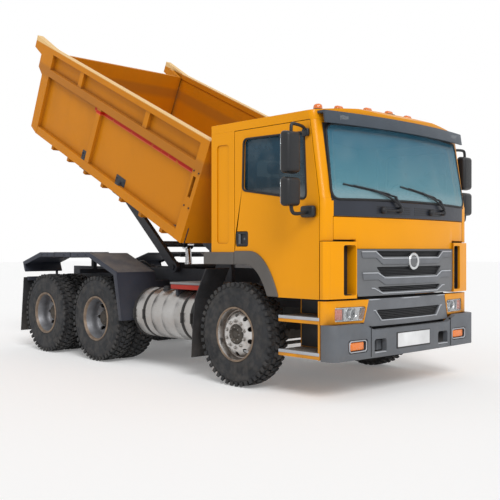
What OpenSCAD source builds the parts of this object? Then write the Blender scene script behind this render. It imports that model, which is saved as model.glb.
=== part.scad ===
// Three-axle dump truck with a cab over its engine and a bed hinged behind the cab.
// Frame: +X forward, +Y to the truck's left, +Z up, in millimetres, with the origin on the
// ground below the middle of the chassis. The bed is drawn raised, as it stands.

/* [Chassis] */
// Front face of the bumper to the front axle
front_overhang = 1400; // [1340:10:1700]
// Front axle to the first drive axle
wheelbase = 2680; // [2500:10:3600]
// First drive axle to the second
tandem = 1300; // [1260:10:1600]
// Second drive axle to the end of the mud flaps
rear_overhang = 720; // [690:10:1000]
// Width over the frame rails
frame_w = 860; // [800:10:900]
// Height of a frame rail
rail_h = 250; // [200:5:300]
// Top of the frame rails above the ground
rail_top = 1050; // [1040:5:1120]
// Height of the tipping subframe on the rails
subframe_h = 150; // [120:5:190]

/* [Wheels] */
// Outer diameter of a tyre
tyre_d = 1100; // [1000:5:1140]
// Widest width of a tyre
tyre_w = 280; // [230:5:290]
// Width over the outer tyres
track_w = 2480; // [2440:10:2500]
// Gap between twin tyres
twin_gap = 30; // [20:1:60]
// Diameter of the rim at the bead
rim_d = 580; // [500:5:620]
// Depth of the kingpin axis inside the tyre's outer face
kingpin_in = 320; // [310:5:380]

/* [Cab] */
// Width of the cab
cab_w = 2500; // [2400:10:2600]
// Corner of the cab's front to its rear wall
cab_len = 1600; // [1560:10:2000]
// Radius of the cab's front, seen from above
face_r = 6300; // [6000:50:6500]
// Underside of the doors above the ground
cab_z = 970; // [950:5:1000]
// Foot of the windscreen above the ground
waist_z = 1930; // [1880:5:2000]
// Seam between the cab's sides and its roof
seam_z = 2690; // [2600:10:2800]
// Height of the roof above the seam
roof_h = 180; // [140:5:220]
// Lean of the windscreen in degrees
rake = 9; // [6:1:11]
// Thickness of doors and walls
wall = 60; // [50:1:70]
// Gap round a door or flap
door_gap = 6; // [5:1:8]

/* [Bed] */
// Length of the bed's floor
bed_len = 3750; // [3100:10:4500]
// Width over the bed's rails
bed_w = 2420; // [2200:10:2460]
// Height of the bed's walls
bed_h = 1200; // [900:10:1440]
// Thickness of the bed's plates
bed_plate = 30; // [20:1:40]
// Angle at which the bed stands
bed_tilt = 25.7; // [15:0.1:28]
// Gap between the raised bed and the cab
bed_cab_gap = 60; // [40:5:100]
// Length of the hoist's arms
arm_len = 1863; // [1700:5:2100]

/* [Tank] */
// Diameter of the fuel tank
tank_d = 605; // [500:5:620]
// Length of the fuel tank
tank_len = 1240; // [800:10:1250]

/* [Hidden] */
$fn = 48;

// Gaps: between pieces that stay put, round a pin, and between pieces that move apart
seat = 0.3;
pin_gap = 0.3;
clear = 6;
// Facets of the large arcs, so that they stay close to true
fine = 720;

// Places along the truck
x_front = (front_overhang + wheelbase + tandem + rear_overhang) / 2;
x_rear = -x_front;
x_steer = x_front - front_overhang;
x_drive = [x_steer - wheelbase, x_steer - wheelbase - tandem];
hub_z = tyre_d / 2;
tyre_out = track_w / 2;
wheel_y = tyre_out - tyre_w / 2;
inner_wheel_y = wheel_y - tyre_w - twin_gap;
twin_y = (wheel_y + inner_wheel_y) / 2;
king_y = tyre_out - kingpin_in;

// Frame
rail_y = frame_w / 2;
rail_t = 50;
rail_bottom = rail_top - rail_h;
deck_z = rail_top + subframe_h;
cross_h = 90;
cross_t = 60;
cross_pitch = 600;
rail_back = x_rear + 150;
block_w = 90;
block_h = 100;
coupling_y = 120;
coupling_z = 55;
coupling_r = 7.5;

// Cab: front skin, corners and walls
cab_setback = 150;
corner_x = x_front - cab_setback;
side_y = cab_w / 2;
face_x = corner_x + arc_drop(side_y, face_r);
corner_r = 75;
corner_out = 15;
cab_rear = corner_x - cab_len;
inner_y = side_y - wall - clear;
roof_z = seam_z + roof_h;
crown = 90;
roof_r = (side_y * side_y + crown * crown) / (2 * crown);
floor_t = 40;
floor_z = rail_top + 380;
bulkhead_x = corner_x - 80;
bulkhead_t = 40;
rail_front = bulkhead_x - bulkhead_t - 10;

// Doors
door_front = corner_x - 50;
rear_panel_w = 370;
door_rear = cab_rear + rear_panel_w;
door_top = seam_z - door_gap;
sill_low = 2060;
sill_high = 2590;

// Wheel arch of the cab: a flat top and a slanted front
arch_z = hub_z + 737;
arch_flat = 190;
arch_foot = 505;
flare_w = 130;
flare_foot = 150;
flare_out = 15;

// Front panels
flap_top = 1757;
flap_low = 1450;
grille_low = cab_z;
grille_y = 845;
deflector_top = 1520;
panel_y = side_y - 124;
flap_t = 30;
wing_low = deflector_top + 18;
lamp_low = 730;
lamp_top = 955;

// Bed: hinge at its front foot, and its frame drawn lying flat
foot_x = 56;
foot_z = 160;
rail_rise = 40;
sill_h = 120;
side_out = bed_w / 2;
plate_out = side_out - 60;
sill_y = [450, 560];
hinge_z = deck_z + 200;
hinge_x = cab_rear - bed_cab_gap - foot_x * cos(bed_tilt)
    - (foot_z + bed_h + rail_rise) * sin(bed_tilt);
lug_r = 60;
hinge_pin_r = 30;
tailgate_t = 60;
tail_pin = [-(bed_len + 300), bed_h - 10];
tail_pin_r = 28;

// Hoist: arms from the frame to rollers under the bed's sills, and a cylinder between them
hinge_to_arm = 900;
arm_x = hinge_x - hinge_to_arm;
arm_z = deck_z + 20;
arm_y = [455, 515];
arm_half = 60;
arm_pin_r = 35;
roller_r = 70;
roller_gap = 1;
function arm_angle(t) = t + asin((hinge_to_arm * sin(t) + (hinge_z - arm_z) * cos(t)
    + foot_z - sill_h - roller_gap - roller_r) / arm_len);
arm_rest = arm_angle(bed_tilt);
hinge_to_base = 1150;
base_x = hinge_x - hinge_to_base;
base_z = rail_bottom + 40;
base_pin_r = 30;
eye_s = 450;
tube_r = 40;
tube_s = 1500;
eye_gap = 10;
eye_r = tube_r + eye_gap + 22;
function eye_at(a) = [arm_x - eye_s * cos(a), arm_z + eye_s * sin(a)];
function rod_line(a) = eye_at(a) - [base_x, base_z];
rod_len = norm(rod_line(arm_rest));
rod_angle = atan2(rod_line(arm_rest)[1], rod_line(arm_rest)[0]);
closed_len = norm(rod_line(arm_angle(0)));
stroke = rod_len - closed_len;
rod_r = 42;

// Wheels and axle ends
rim_r = rim_d / 2;
rim_t = 15;
spindle_r = 40;
tube_axle_r = 60;
king_r = 20;
lug_z = [60, 125];
steer_arm = 180;
tie_x = x_steer - steer_arm + 22;
tie_pin_r = 12;

gear_back = x_steer - 700;
gear_front = x_steer - 300;

function arc_drop(y, r) = r - sqrt(r * r - y * y);
function unit(v) = v / norm(v);
// Outline of the points p with every corner rounded to radius r
function rounded(p, r) = [for (i = [0 : len(p) - 1])
    let (a = p[(i + len(p) - 1) % len(p)], b = p[i], c = p[(i + 1) % len(p)],
        u = unit(a - b), v = unit(c - b), half = acos(u * v) / 2,
        o = b + unit(u + v) * r / sin(half),
        p0 = b + u * r / tan(half) - o, p1 = b + v * r / tan(half) - o)
    for (k = [0 : 6]) o + r * unit(p0 * (1 - k / 6) + p1 * k / 6)];
// Outline of a bent plate that follows the points p with thickness t on one side
function offset_point(p, i, t) =
    let (u = unit(p[min(i + 1, len(p) - 1)] - p[min(i, len(p) - 2)]),
        v = unit(p[max(i, 1)] - p[max(i - 1, 0)]),
        n = [-u[1], u[0]], m = [-v[1], v[0]])
    p[i] + (n + m) * t / (1 + n * m);
function bent(p, t) = concat(p, [for (i = [len(p) - 1 : -1 : 0]) offset_point(p, i, t)]);
function mirrored(p) = concat(p, [for (i = [len(p) - 1 : -1 : 0]) [-p[i][0], p[i][1]]]);

module both_sides() {
    children();
    mirror([0, 1, 0]) children();
}
// An outline in X and Z, as thick as from y0 to y1
module across(y0, y1) {
    translate([0, y1, 0]) rotate([90, 0, 0]) linear_extrude(y1 - y0) children();
}
// An outline in Y and Z, from x0 to x1
module along(x0, x1) {
    translate([x0, 0, 0]) rotate([90, 0, 90]) linear_extrude(x1 - x0) children();
}
module block(x, y, z) {
    translate([x[0], y[0], z[0]]) cube([x[1] - x[0], y[1] - y[0], z[1] - z[0]]);
}
module pin(x, z, r, y0, y1) {
    translate([x, y0, z]) rotate([-90, 0, 0]) cylinder(r = r, h = y1 - y0);
}
module ring2d(r0, r1) {
    difference() {
        circle(r1);
        circle(r0);
    }
}

// Plan of the cab, grown outwards by g
module cab_plan(g) {
    y = side_y + g;
    x = corner_x + corner_out + g;
    r = corner_r + g;
    back = cab_rear - 400;
    intersection() {
        translate([face_x - face_r, 0]) circle(face_r + g, $fn = fine);
        union() {
            translate([back, -y]) square([x - r - back, 2 * y]);
            translate([back, r - y]) square([face_x + g + 10 - back, 2 * (y - r)]);
            for (s = [-1, 1])
                translate([x - r, s * (y - r)]) circle(r);
        }
    }
}
// Above the waist the front leans back, a small step behind the face below
waist_step = 4;
module leaned() {
    translate([face_x - waist_step, 0, waist_z]) rotate([0, -rake, 0]) translate([-face_x, 0, 0]) children();
}
// The cab's whole mass between two heights, grown outwards by g
module cab_mass(g, low, high) {
    back = cab_rear - g;
    intersection() {
        block([back, x_front + 300], [-cab_w, cab_w], [low, high]);
        union() {
            if (low < waist_z)
                translate([0, 0, low]) linear_extrude(min(high, waist_z) - low) cab_plan(g);
            if (high > waist_z)
                intersection() {
                    block([back, x_front + 300], [-cab_w, cab_w], [waist_z, high]);
                    leaned() translate([0, 0, -200]) linear_extrude(high - waist_z + 700) cab_plan(g);
                }
        }
    }
}
// A skin of the cab's front, between two depths behind its face
module front_skin(ahead, behind, low, high) {
    intersection() {
        block([bulkhead_x + seat, x_front + 100], [-cab_w, cab_w], [low, high]);
        difference() {
            cab_mass(ahead, low, high);
            cab_mass(-behind, low - 1, high + 1);
        }
    }
}
// What a door and its window leave free in the cab's side, with a gap round them
module door_void() {
    lean = tan(rake) * (seam_z - waist_z);
    both_sides()
        across(inner_y, cab_w)
            polygon([[door_rear - clear / 2, cab_z - 100], [door_front + door_gap, cab_z - 100],
                [door_front + door_gap, waist_z], [door_front + door_gap - lean, seam_z],
                [door_rear - clear / 2, seam_z]]);
}
function windscreen(grow) =
    let (low = 25 - grow, high = (seam_z - waist_z) / cos(rake) - 75 + grow,
        y0 = side_y - 165 + grow, y1 = side_y - 220 + grow)
    rounded([[y0, low], [y1, high], [-y1, high], [-y0, low]], 60);
function rear_light(grow) =
    let (y = 620 + grow, low = waist_z + 40 - grow, high = seam_z - 220 + grow)
    rounded([[y, low], [y, high], [-y, high], [-y, low]], 80);
function door_light(grow) =
    rounded([[door_rear + 125 - grow, sill_low - grow], [door_rear + 140 - grow, sill_high + grow],
        [door_front - 190 + grow, sill_high - 15 + grow],
        [door_front - 160 + grow, waist_z - 5 - grow]], 55);

module frame() {
    front = x_front - 60 - arc_drop(rail_y, bumper_r) - seat;
    y = [rail_y - rail_t, rail_y];
    back_n = ceil((base_x - rail_back) / cross_pitch);
    mid_n = ceil((gear_back - base_x) / cross_pitch);
    front_n = ceil((rail_front - gear_front) / cross_pitch);
    cross_at = concat(
        [for (i = [0 : back_n - 1]) rail_back + 30 + i * (base_x - rail_back - 30) / back_n],
        [for (i = [1 : mid_n]) base_x + i * (gear_back - 50 - base_x) / mid_n],
        [for (i = [0 : front_n]) gear_front + 80 + i * (rail_front - 120 - gear_front) / front_n]);
    hanger_z = front_leaf_z + leaf_t + arc_drop(front_leaf + 40, front_leaf_r) + seat;
    color("#20242b")
        difference() {
            union() {
                both_sides() {
                    block([rail_back, rail_front], y, [rail_bottom, rail_top]);
                    // Front posts and cab mounts
                    block([rail_front - 130, rail_front], y, [bumper_low + 40, rail_bottom + 1]);
                    block([rail_front - 130, front], y, [bumper_low + 40, 650]);
                    for (x = [cab_rear + 60, rail_front - 100])
                        block([x, x + 90], y, [rail_top - 1, floor_z - floor_t]);
                    // Leaf spring hangers and the trunnion of the tandem
                    for (x = [x_steer - front_leaf, x_steer + front_leaf])
                        block([x - 40, x + 40], [spring_y[0], rail_y], [hanger_z, rail_bottom + 1]);
                    block([tandem_x - 90, tandem_x + 90], [rail_y - 1, rear_spring_y[1]],
                        [rear_leaf_top + seat, rail_top - 50]);
                }
                for (x = cross_at)
                    block([x - cross_t / 2, x + cross_t / 2], [-rail_y + 1, rail_y - 1],
                        [rail_bottom, rail_bottom + cross_h]);
                pin(base_x, base_z, base_pin_r, -rail_y + 10, rail_y - 10);
            }
            // Bolt holes for a rear coupling
            for (y = [-0.5, 0.5], z = [-0.5, 0.5])
                translate([rail_back - 1, y * coupling_y, rail_bottom + cross_h / 2 + z * coupling_z])
                    rotate([0, 90, 0]) cylinder(r = coupling_r, h = cross_t + 2);
        }
}

// Tipping subframe on the rails: towers of the bed's hinge and brackets of the hoist's arms
module subframe() {
    color("#20242b") {
        both_sides() {
            block([rail_back, hinge_x + 140], [rail_y - rail_t, rail_y], [rail_top, deck_z]);
            across(rail_y - rail_t, rail_y)
                polygon([[hinge_x - 170, deck_z - 1], [hinge_x + 140, deck_z - 1],
                    [hinge_x + lug_r, hinge_z + lug_r], [hinge_x - lug_r, hinge_z + lug_r]]);
            block([arm_x - 80, arm_x + 80], [rail_y - rail_t, rail_y], [deck_z - 1, arm_z + 60]);
        }
        pin(hinge_x, hinge_z, hinge_pin_r, -sill_y[1] - 10, sill_y[1] + 10);
        pin(arm_x, arm_z, arm_pin_r, -arm_y[1] - 20, arm_y[1] + 20);
    }
}

module tank_brackets() {
    color("#20242b")
        difference() {
            for (share = [0.2, 0.5, 0.8])
                block([tank_x[0] + tank_len * share - 35, tank_x[0] + tank_len * share + 35],
                    [-tank_y, -rail_y], [tank_z - 120, rail_top - 80]);
            translate([tank_x[0] - 10, -tank_y, tank_z]) rotate([0, 90, 0])
                cylinder(r = tank_d / 2 + seat, h = tank_len + 20);
        }
}

module fender_brackets() {
    x = [tandem_x - 30, tandem_x + 30];
    color("#20242b") both_sides() {
        block(x, [rail_y, side_out - 120], [rail_top + 70, rail_top + 130]);
        block(x, [side_out - 400, side_out - 340], [rail_top + 129, fender_z - fender_t - seat]);
    }
}

// Places that the frame shares with what it carries
bumper_low = 385;
block_low = bumper_low + 60;
spring_y = [365, 445];
front_leaf = 650;
leaf_t = 30;
front_leaf_z = hub_z + 10;
front_leaf_r = (front_leaf * front_leaf + 60 * 60) / 120;
tandem_x = (x_drive[0] + x_drive[1]) / 2;
rear_spring_y = [470, 560];
rear_leaf_r = 3500;
rear_leaf_low = hub_z + 172;
rear_leaf_top = rear_leaf_low + 3 * leaf_t;
fender_z = 1400;
fender_t = 20;
tank_x = [x_steer - 745 - tank_len, x_steer - 745];
tank_z = 667;
tank_y = 1150 - tank_d / 2;

module front_axle() {
    color("#26292e") {
        block([x_steer - 50, x_steer + 50], [-king_y + 60, king_y - 60], [hub_z - 105, hub_z - 10]);
        both_sides() {
            block([x_steer - 45, x_steer + 45], [king_y - 110, king_y - 60], [hub_z - 105, hub_z + 55]);
            block([x_steer - 40, x_steer + 40], [king_y - 61, king_y - 20], [hub_z - 55, hub_z + 55]);
            translate([x_steer, king_y, hub_z - 55]) cylinder(r = 45, h = 110);
            translate([x_steer, king_y, hub_z - lug_z[1] - 15]) cylinder(r = king_r, h = 2 * lug_z[1] + 30);
            block([x_steer - 60, x_steer + 60], spring_y, [hub_z - 11, front_leaf_z - seat]);
        }
    }
}

module drive_axles() {
    color("#26292e")
        for (i = [0, 1]) {
            x = x_drive[i];
            translate([x, 0, hub_z]) sphere(r = 185);
            pin(x, hub_z, tube_axle_r, -wheel_y + 60, wheel_y - 60);
            pin(x, hub_z, 95, -rear_spring_y[1] - 10, rear_spring_y[1] + 10);
            translate([x, 0, hub_z]) rotate([0, 90, 0]) cylinder(r = 75, h = 250);
            if (i == 0)
                translate([x - 240, 0, hub_z]) rotate([0, 90, 0]) cylinder(r = 60, h = 200);
            both_sides()
                block([x - 60, x + 60], rear_spring_y,
                    [hub_z, rear_leaf_low - arc_drop(tandem / 2 + 60, rear_leaf_r - leaf_t) - seat]);
        }
}

module leaf(x, low, r, half, up, y) {
    across(y[0], y[1])
        intersection() {
            translate([x, low + (up ? r : -r + leaf_t)])
                ring2d(r - leaf_t, r, $fn = fine);
            translate([x - half, low - 400]) square([2 * half, 800]);
        }
}
module leaf_springs() {
    color("#1c1e22") both_sides() {
        for (i = [0 : 2]) {
            leaf(x_steer, front_leaf_z + i * leaf_t, front_leaf_r + leaf_t - i * leaf_t, front_leaf + 40 - i * 150,
                true, spring_y);
            leaf(tandem_x, rear_leaf_low + i * leaf_t, rear_leaf_r + i * leaf_t, tandem / 2 + 60 - i * 170,
                false, rear_spring_y);
        }
    }
}

// A shaft from a to b in the middle plane, with a flange on each end
module cardan(a, b, r) {
    d = b - a;
    t = 30;
    for (e = [[a[0], a[1]], [b[0] - t, b[1]]])
        translate([e[0], 0, e[1]]) rotate([0, 90, 0]) cylinder(r = 70, h = t);
    translate([a[0] + t / 2, 0, a[1]]) rotate([0, 90 - atan2(d[1], d[0] - t), 0])
        cylinder(r = r, h = norm([d[0] - t, d[1]]));
}
module drive_shafts() {
    color("#3a3d42") {
        cardan([x_drive[0] + 250 + seat, hub_z], [gear_back - seat, gear_z], 45);
        cardan([x_drive[1] + 250 + seat, hub_z], [x_drive[0] - 240 - seat, hub_z], 40);
    }
}
gear_z = rail_bottom - 70;

module engine() {
    y = 300;
    color("#55585c") {
        block([gear_front - 1, rail_front - 330], [-y, y], [rail_bottom + cross_h + 5, floor_z - floor_t - 25]);
        block([gear_back, gear_front], [-180, 180], [gear_z - 90, rail_top + 20]);
        both_sides()
            for (x = [gear_front + 150, rail_front - 500])
                block([x - 40, x + 40], [y - 1, rail_y - rail_t - seat], [rail_top - 120, rail_top - 40]);
        // Radiator, carried on the rails' inner faces
        block([rail_front - 180, rail_front - 110], [-rail_y + rail_t + seat, rail_y - rail_t - seat],
            [rail_bottom + cross_h + 5, floor_z - floor_t - 25]);
        block([rail_front - 331, rail_front - 179], [-120, 120], [rail_top, rail_top + 160]);
    }
}

module fuel_tank() {
    color("#b9bdc1")
        translate([tank_x[0], -tank_y, tank_z]) rotate([0, 90, 0]) cylinder(r = tank_d / 2, h = tank_len);
}

// A box on the truck's left rail, with two arms to it
module rail_box(x0, x1, z0, z1) {
    block([x0, x1], [rail_y + 130, side_y - 100], [z0, z1]);
    for (x = [x0 + 60, x1 - 120])
        block([x, x + 60], [rail_y + seat, rail_y + 131], [rail_bottom + 20, rail_bottom + 80]);
}
module battery_box() {
    color("#2a2d31") rail_box(tank_x[1] - 560, tank_x[1], 450, 930);
}
module hydraulic_tank() {
    color("#8b8f94") rail_box(tank_x[0], tank_x[1] - 600, 480, 960);
}

module rear_fenders() {
    a = x_drive[0];
    b = x_drive[1];
    line = [[a + 615, hub_z + 10], [a + 490, hub_z + 610], [a - 130, fender_z], [b - 120, fender_z],
        [b - 627, fender_z - 140], [b - 570, fender_z - 280]];
    inner = side_out - 570;
    color("#23272f") both_sides() {
        across(inner, side_out + 40) polygon(bent(line, fender_t));
        // Front panel's foot and the rear arm reach the rail
        across(rail_y + seat, inner + 1)
            intersection() {
                polygon(bent(line, fender_t));
                translate([a, rail_bottom + 5]) square([tandem, rail_h - 10]);
            }
        block([b - 620, b - 570], [rail_y + seat, side_out - 20], [rail_top - 60, rail_top - 1]);
        block([b - 600, b - 570], [inner + 60, inner + 90], [rail_top - 2, fender_z - 250]);
    }
}

module mud_flaps() {
    top = [x_drive[1] - 620 - seat, rail_top - 10];
    color("#17181a") both_sides()
        across(side_out - 550, side_out + 30)
            polygon([top, top - [12, 0], [x_rear, 250], [x_rear + 12, 250]]);
}

module wheel_guards() {
    line = [[x_steer - 460, 1240], [x_steer - 650, 900], [x_steer - 690, hub_z], [x_steer - 710, 240]];
    color("#1b1c1f") both_sides() {
        across(king_y - 20, side_y - 10) polygon(bent(line, 12));
        block([x_steer - 690, x_steer - 643], [rail_y + seat, king_y - 19], [rail_top - 150, rail_top - 115]);
    }
}

// Face of the bumper, at depth d behind it
bumper_r = 25000;
bumper_top = 660;
bumper_side = lamp_low;
module bumper_plan(g) {
    intersection() {
        translate([x_front - bumper_r, 0]) circle(bumper_r + g, $fn = 4 * fine);
        union() {
            translate([corner_x - 200, -side_y + 130]) square([400, 2 * side_y - 260]);
            translate([corner_x - 200, 10 - side_y - g]) square([210, 2 * (side_y - 10 + g)]);
            for (s = [-1, 1])
                translate([corner_x + 10, s * (side_y - 130)]) circle(120 + g);
        }
    }
}
module bumper() {
    x = [door_front + 10, x_front + 1];
    nose_x = x_front - 75 - arc_drop(rail_y, bumper_r) - seat;
    color("#4a4d52")
        difference() {
            intersection() {
                translate([0, 0, bumper_low]) linear_extrude(bumper_side - bumper_low)
                    difference() {
                        bumper_plan(0);
                        bumper_plan(-60);
                    }
                along(x[0], x[1])
                    polygon(mirrored([[0, bumper_low], [side_y, bumper_low], [side_y, bumper_side],
                        [side_y - 430, bumper_side], [side_y - 600, bumper_top], [0, bumper_top]]));
            }
            // Openings in front of the blocks and the recesses of the low lamps
            both_sides() {
                along(x[0], x[1] + 1)
                    polygon(rounded([[455, 425], [645, 425], [645, 565], [455, 565]], 30));
                along(x_front - 62, x[1] + 1)
                    polygon(rounded([[745, 450], [1030, 450], [1030, 580], [745, 580]], 30));
            }
        }
    // Buffer blocks against the frame's posts, behind the openings
    color("#20242b")
        both_sides()
            block([nose_x - block_w, nose_x], [rail_y + seat, rail_y + block_w], [block_low, block_low + block_h]);
}

module lower_grille() {
    color("#3a3d41")
        difference() {
            intersection() {
                front_skin(-10, 50, 684, 910);
                along(bulkhead_x, x_front) polygon(mirrored([[0, 684], [750, 684], [682, 910], [0, 910]]));
            }
            for (i = [0 : 2])
                along(bulkhead_x, x_front)
                    polygon(mirrored([[0, 715 + 62 * i], [640, 715 + 62 * i], [630, 755 + 62 * i],
                        [0, 755 + 62 * i]]));
        }
}

function lamp_outline(grow) =
    rounded([[745 - grow, 752 - grow], [1110 + grow, 752 - grow], [1110 + grow, 890 + grow],
        [705 - grow, 890 + grow]], 25);
module headlamp_panels() {
    color("#e89013")
        difference() {
            intersection() {
                front_skin(0, 60, lamp_low, lamp_top);
                both_sides()
                    along(door_front + 10, x_front)
                        polygon([[750.3 - 68 * (lamp_low - 684) / 226, lamp_low], [side_y + 1, lamp_low],
                            [side_y + 1, lamp_top], [750.3 - 68 * (lamp_top - 684) / 226, lamp_top]]);
            }
            both_sides() along(bulkhead_x, x_front) polygon(lamp_outline(0));
        }
}
module headlamps() {
    color("#e8eef2")
        intersection() {
            front_skin(-4, 44, lamp_low, lamp_top);
            both_sides() along(bulkhead_x, x_front) polygon(lamp_outline(-seat));
        }
}

module cab() {
    sill_z = arch_z + flare_w;
    color("#f09a16") {
        difference() {
            union() {
                // Walls behind the doors and round the windscreen
                difference() {
                    union() {
                        intersection() {
                            cab_mass(0, sill_z, seam_z);
                            block([cab_rear - 1, door_rear], [-cab_w, cab_w], [sill_z, seam_z]);
                        }
                        intersection() {
                            cab_mass(0, flap_top + door_gap, seam_z);
                            block([door_rear, x_front], [-cab_w, cab_w], [flap_top + door_gap, seam_z]);
                        }
                    }
                    cab_mass(-wall, sill_z - 1, seam_z + 1);
                }
                block([cab_rear, cab_rear + wall], [-inner_y, inner_y], [floor_z - floor_t, sill_z + 1]);
                // Cowl shelf and the corners beside the front flap
                intersection() {
                    cab_mass(-5, flap_top + door_gap, flap_top + 36);
                    block([bulkhead_x - bulkhead_t, x_front], [-inner_y, inner_y],
                        [flap_top + door_gap, flap_top + 36]);
                }
                intersection() {
                    cab_mass(0, deflector_top + door_gap, flap_top + 20);
                    both_sides()
                        block([bulkhead_x - 1, x_front], [panel_y + door_gap, cab_w],
                            [deflector_top + door_gap, flap_top + 20]);
                }
            }
            door_void();
            leaned() along(face_x - 400, face_x + 100) polygon(windscreen(0));
            along(cab_rear - 1, cab_rear + wall + 1) polygon(rear_light(0));
            // Shallow panel pressed into the wall behind each door
            both_sides()
                across(side_y - 12, side_y + 1)
                    polygon(rounded([[cab_rear + 90, sill_z + 90], [door_rear - 90, sill_z + 90],
                        [door_rear - 90, seam_z - 130], [cab_rear + 90, seam_z - 130]], 40));
        }
        block([cab_rear, bulkhead_x - bulkhead_t + 1], [-inner_y, inner_y], [floor_z - floor_t, floor_z]);
        block([bulkhead_x - bulkhead_t, bulkhead_x], [-inner_y, inner_y], [cab_z, waist_z]);
        both_sides() {
            // Jamb that the door shuts against, hinge pads and the flap's stops
            block([door_rear - 60, door_rear - clear / 2], [inner_y - 34, side_y - wall + 1],
                [sill_z, seam_z]);
            block([door_rear - 60, door_rear + 30], [inner_y - 34, inner_y], [floor_z - floor_t, seam_z]);
            for (z = [floor_z + 60, waist_z - 120])
                block([bulkhead_x - bulkhead_t, bulkhead_x], [inner_y - 1, side_y - wall - seat], [z, z + 60]);
            translate([bulkhead_x - 1, 700, flap_top - 150]) rotate([0, 90, 0])
                cylinder(r = 20, h = face_x - arc_drop(720, face_r - flap_t) - flap_t - seat - bulkhead_x + 1);
        }
    }
}

module roof_mass(g) {
    intersection() {
        cab_mass(g, seam_z, roof_z + 100);
        translate([cab_rear - 100, 0, roof_z - roof_r]) rotate([0, 90, 0])
            cylinder(r = roof_r + g, h = cab_len + 400, $fn = fine);
        across(-cab_w, cab_w)
            polygon(rounded([[cab_rear - g, seam_z - 300], [corner_x + 200, seam_z - 300],
                [corner_x + 200, seam_z + 20], [face_x - 230 + g, roof_z + g], [cab_rear - g, roof_z + g]], 40));
    }
}
module roof() {
    color("#f09a16")
        difference() {
            roof_mass(0);
            intersection() {
                roof_mass(-wall);
                translate([cab_rear + wall, -cab_w, seam_z - 1]) cube([cab_len, 2 * cab_w, roof_h]);
            }
            block([cab_rear + wall, corner_x - 230], [-side_y + wall, side_y - wall], [seam_z - 1, seam_z + 30]);
        }
}

// Blade that stands ahead of the windscreen's header
module sun_visor() {
    low = seam_z - 40;
    high = seam_z + 80;
    color("#3d4045")
        intersection() {
            block([corner_x - 250, x_front], [-side_y + 60, side_y - 60], [low, high]);
            difference() {
                cab_mass(90, low - 1, high + 1);
                cab_mass(seat, low - 2, high + 2);
                difference() {
                    cab_mass(70, low - 2, high - 22);
                    cab_mass(seat, low - 2, high - 21);
                }
            }
        }
}

// Marker lamps and beacons, each as high above the roof's crown as its size says
lamp_y = [0, 350, 765];
beacon_y = side_y - 245;
module roof_lamp(x, y, size) {
    foot = roof_z - arc_drop(y, roof_r) - 50;
    translate([x, y - size[1] / 2, foot]) cube([size[0], size[1], size[2] + 50]);
}
module roof_lamps() {
    color("#f28a1a")
        difference() {
            union() {
                both_sides() {
                    for (y = lamp_y)
                        roof_lamp(face_x - 330 - arc_drop(y, face_r), y, [70, 110, 45]);
                    roof_lamp(face_x - 450, beacon_y, [90, 90, 70]);
                }
            }
            roof_mass(seat);
        }
}

module cab_windows() {
    color([0.55, 0.68, 0.75, 0.5]) {
        intersection() {
            leaned() {
                intersection() {
                    translate([face_x - face_r, 0, -50]) linear_extrude(900)
                        ring2d(face_r - 20, face_r - 12, $fn = fine);
                    along(face_x - 400, face_x + 10) polygon(windscreen(-seat));
                }
            }
            block([cab_rear + 300, x_front], [-cab_w, cab_w], [waist_z, seam_z]);
        }
        along(cab_rear + 25, cab_rear + 33) polygon(rear_light(-seat));
    }
}

module dashboard() {
    x = bulkhead_x - bulkhead_t - seat;
    color("#3a3c40")
        difference() {
            across(-inner_y + 20, inner_y - 20)
                polygon([[x, floor_z + 150], [x, waist_z - 10], [x - 190, waist_z - 10], [x - 290, waist_z - 100],
                    [x - 260, floor_z + 260], [x - 110, floor_z + 150]]);
            column(column_r + seat);
        }
}

seat_y = 560;
seat_back = cab_rear + 190;
module seats() {
    color("#2d2f33") both_sides() {
        block([seat_back + 80, seat_back + 440], [seat_y - 180, seat_y + 180], [floor_z, floor_z + 190]);
        block([seat_back + 60, seat_back + 570], [seat_y - 250, seat_y + 250], [floor_z + 189, floor_z + 340]);
        across(seat_y - 240, seat_y + 240)
            polygon([[seat_back + 60, floor_z + 300], [seat_back + 190, floor_z + 339],
                [seat_back + 110, floor_z + 1000], [seat_back, floor_z + 1000]]);
    }
}

// Steering column: from the wheel's hub down and forward into the dashboard
column_r = 28;
column_len = 260;
wheel_lean = -60;
module at_column() {
    translate([bulkhead_x - 440, seat_y, waist_z + 60]) rotate([0, wheel_lean, 0]) children();
}
module column(r) {
    at_column() translate([0, 0, -column_len]) cylinder(r = r, h = column_len);
}
module steering_wheel() {
    color("#1d1e20") {
        at_column() {
            rotate_extrude() translate([215, 0]) circle(r = 16);
            cylinder(r = 55, h = 30, center = true);
            for (a = [0, 120, 240])
                rotate(a) translate([0, -14, -8]) cube([215, 28, 16]);
        }
        column(column_r);
    }
}

module air_deflectors() {
    recess = 40;
    color("#f09a16")
        difference() {
            intersection() {
                cab_mass(20, cab_z + 3, deflector_top);
                both_sides() {
                    block([bulkhead_x + seat, x_front], [grille_y + 7, inner_y], [cab_z + 3, deflector_top]);
                    block([door_front + 12, x_front], [inner_y - 1, side_y], [cab_z + 3, deflector_top]);
                }
            }
            both_sides()
                difference() {
                    along(bulkhead_x + 40, x_front)
                        polygon(rounded([[grille_y + 20, cab_z + 70], [grille_y + 90, cab_z + 40],
                            [grille_y + 90, deflector_top - 40], [grille_y + 20, deflector_top - 70]], 15));
                    cab_mass(20 - recess, cab_z, deflector_top + 1);
                }
        }
}

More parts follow.
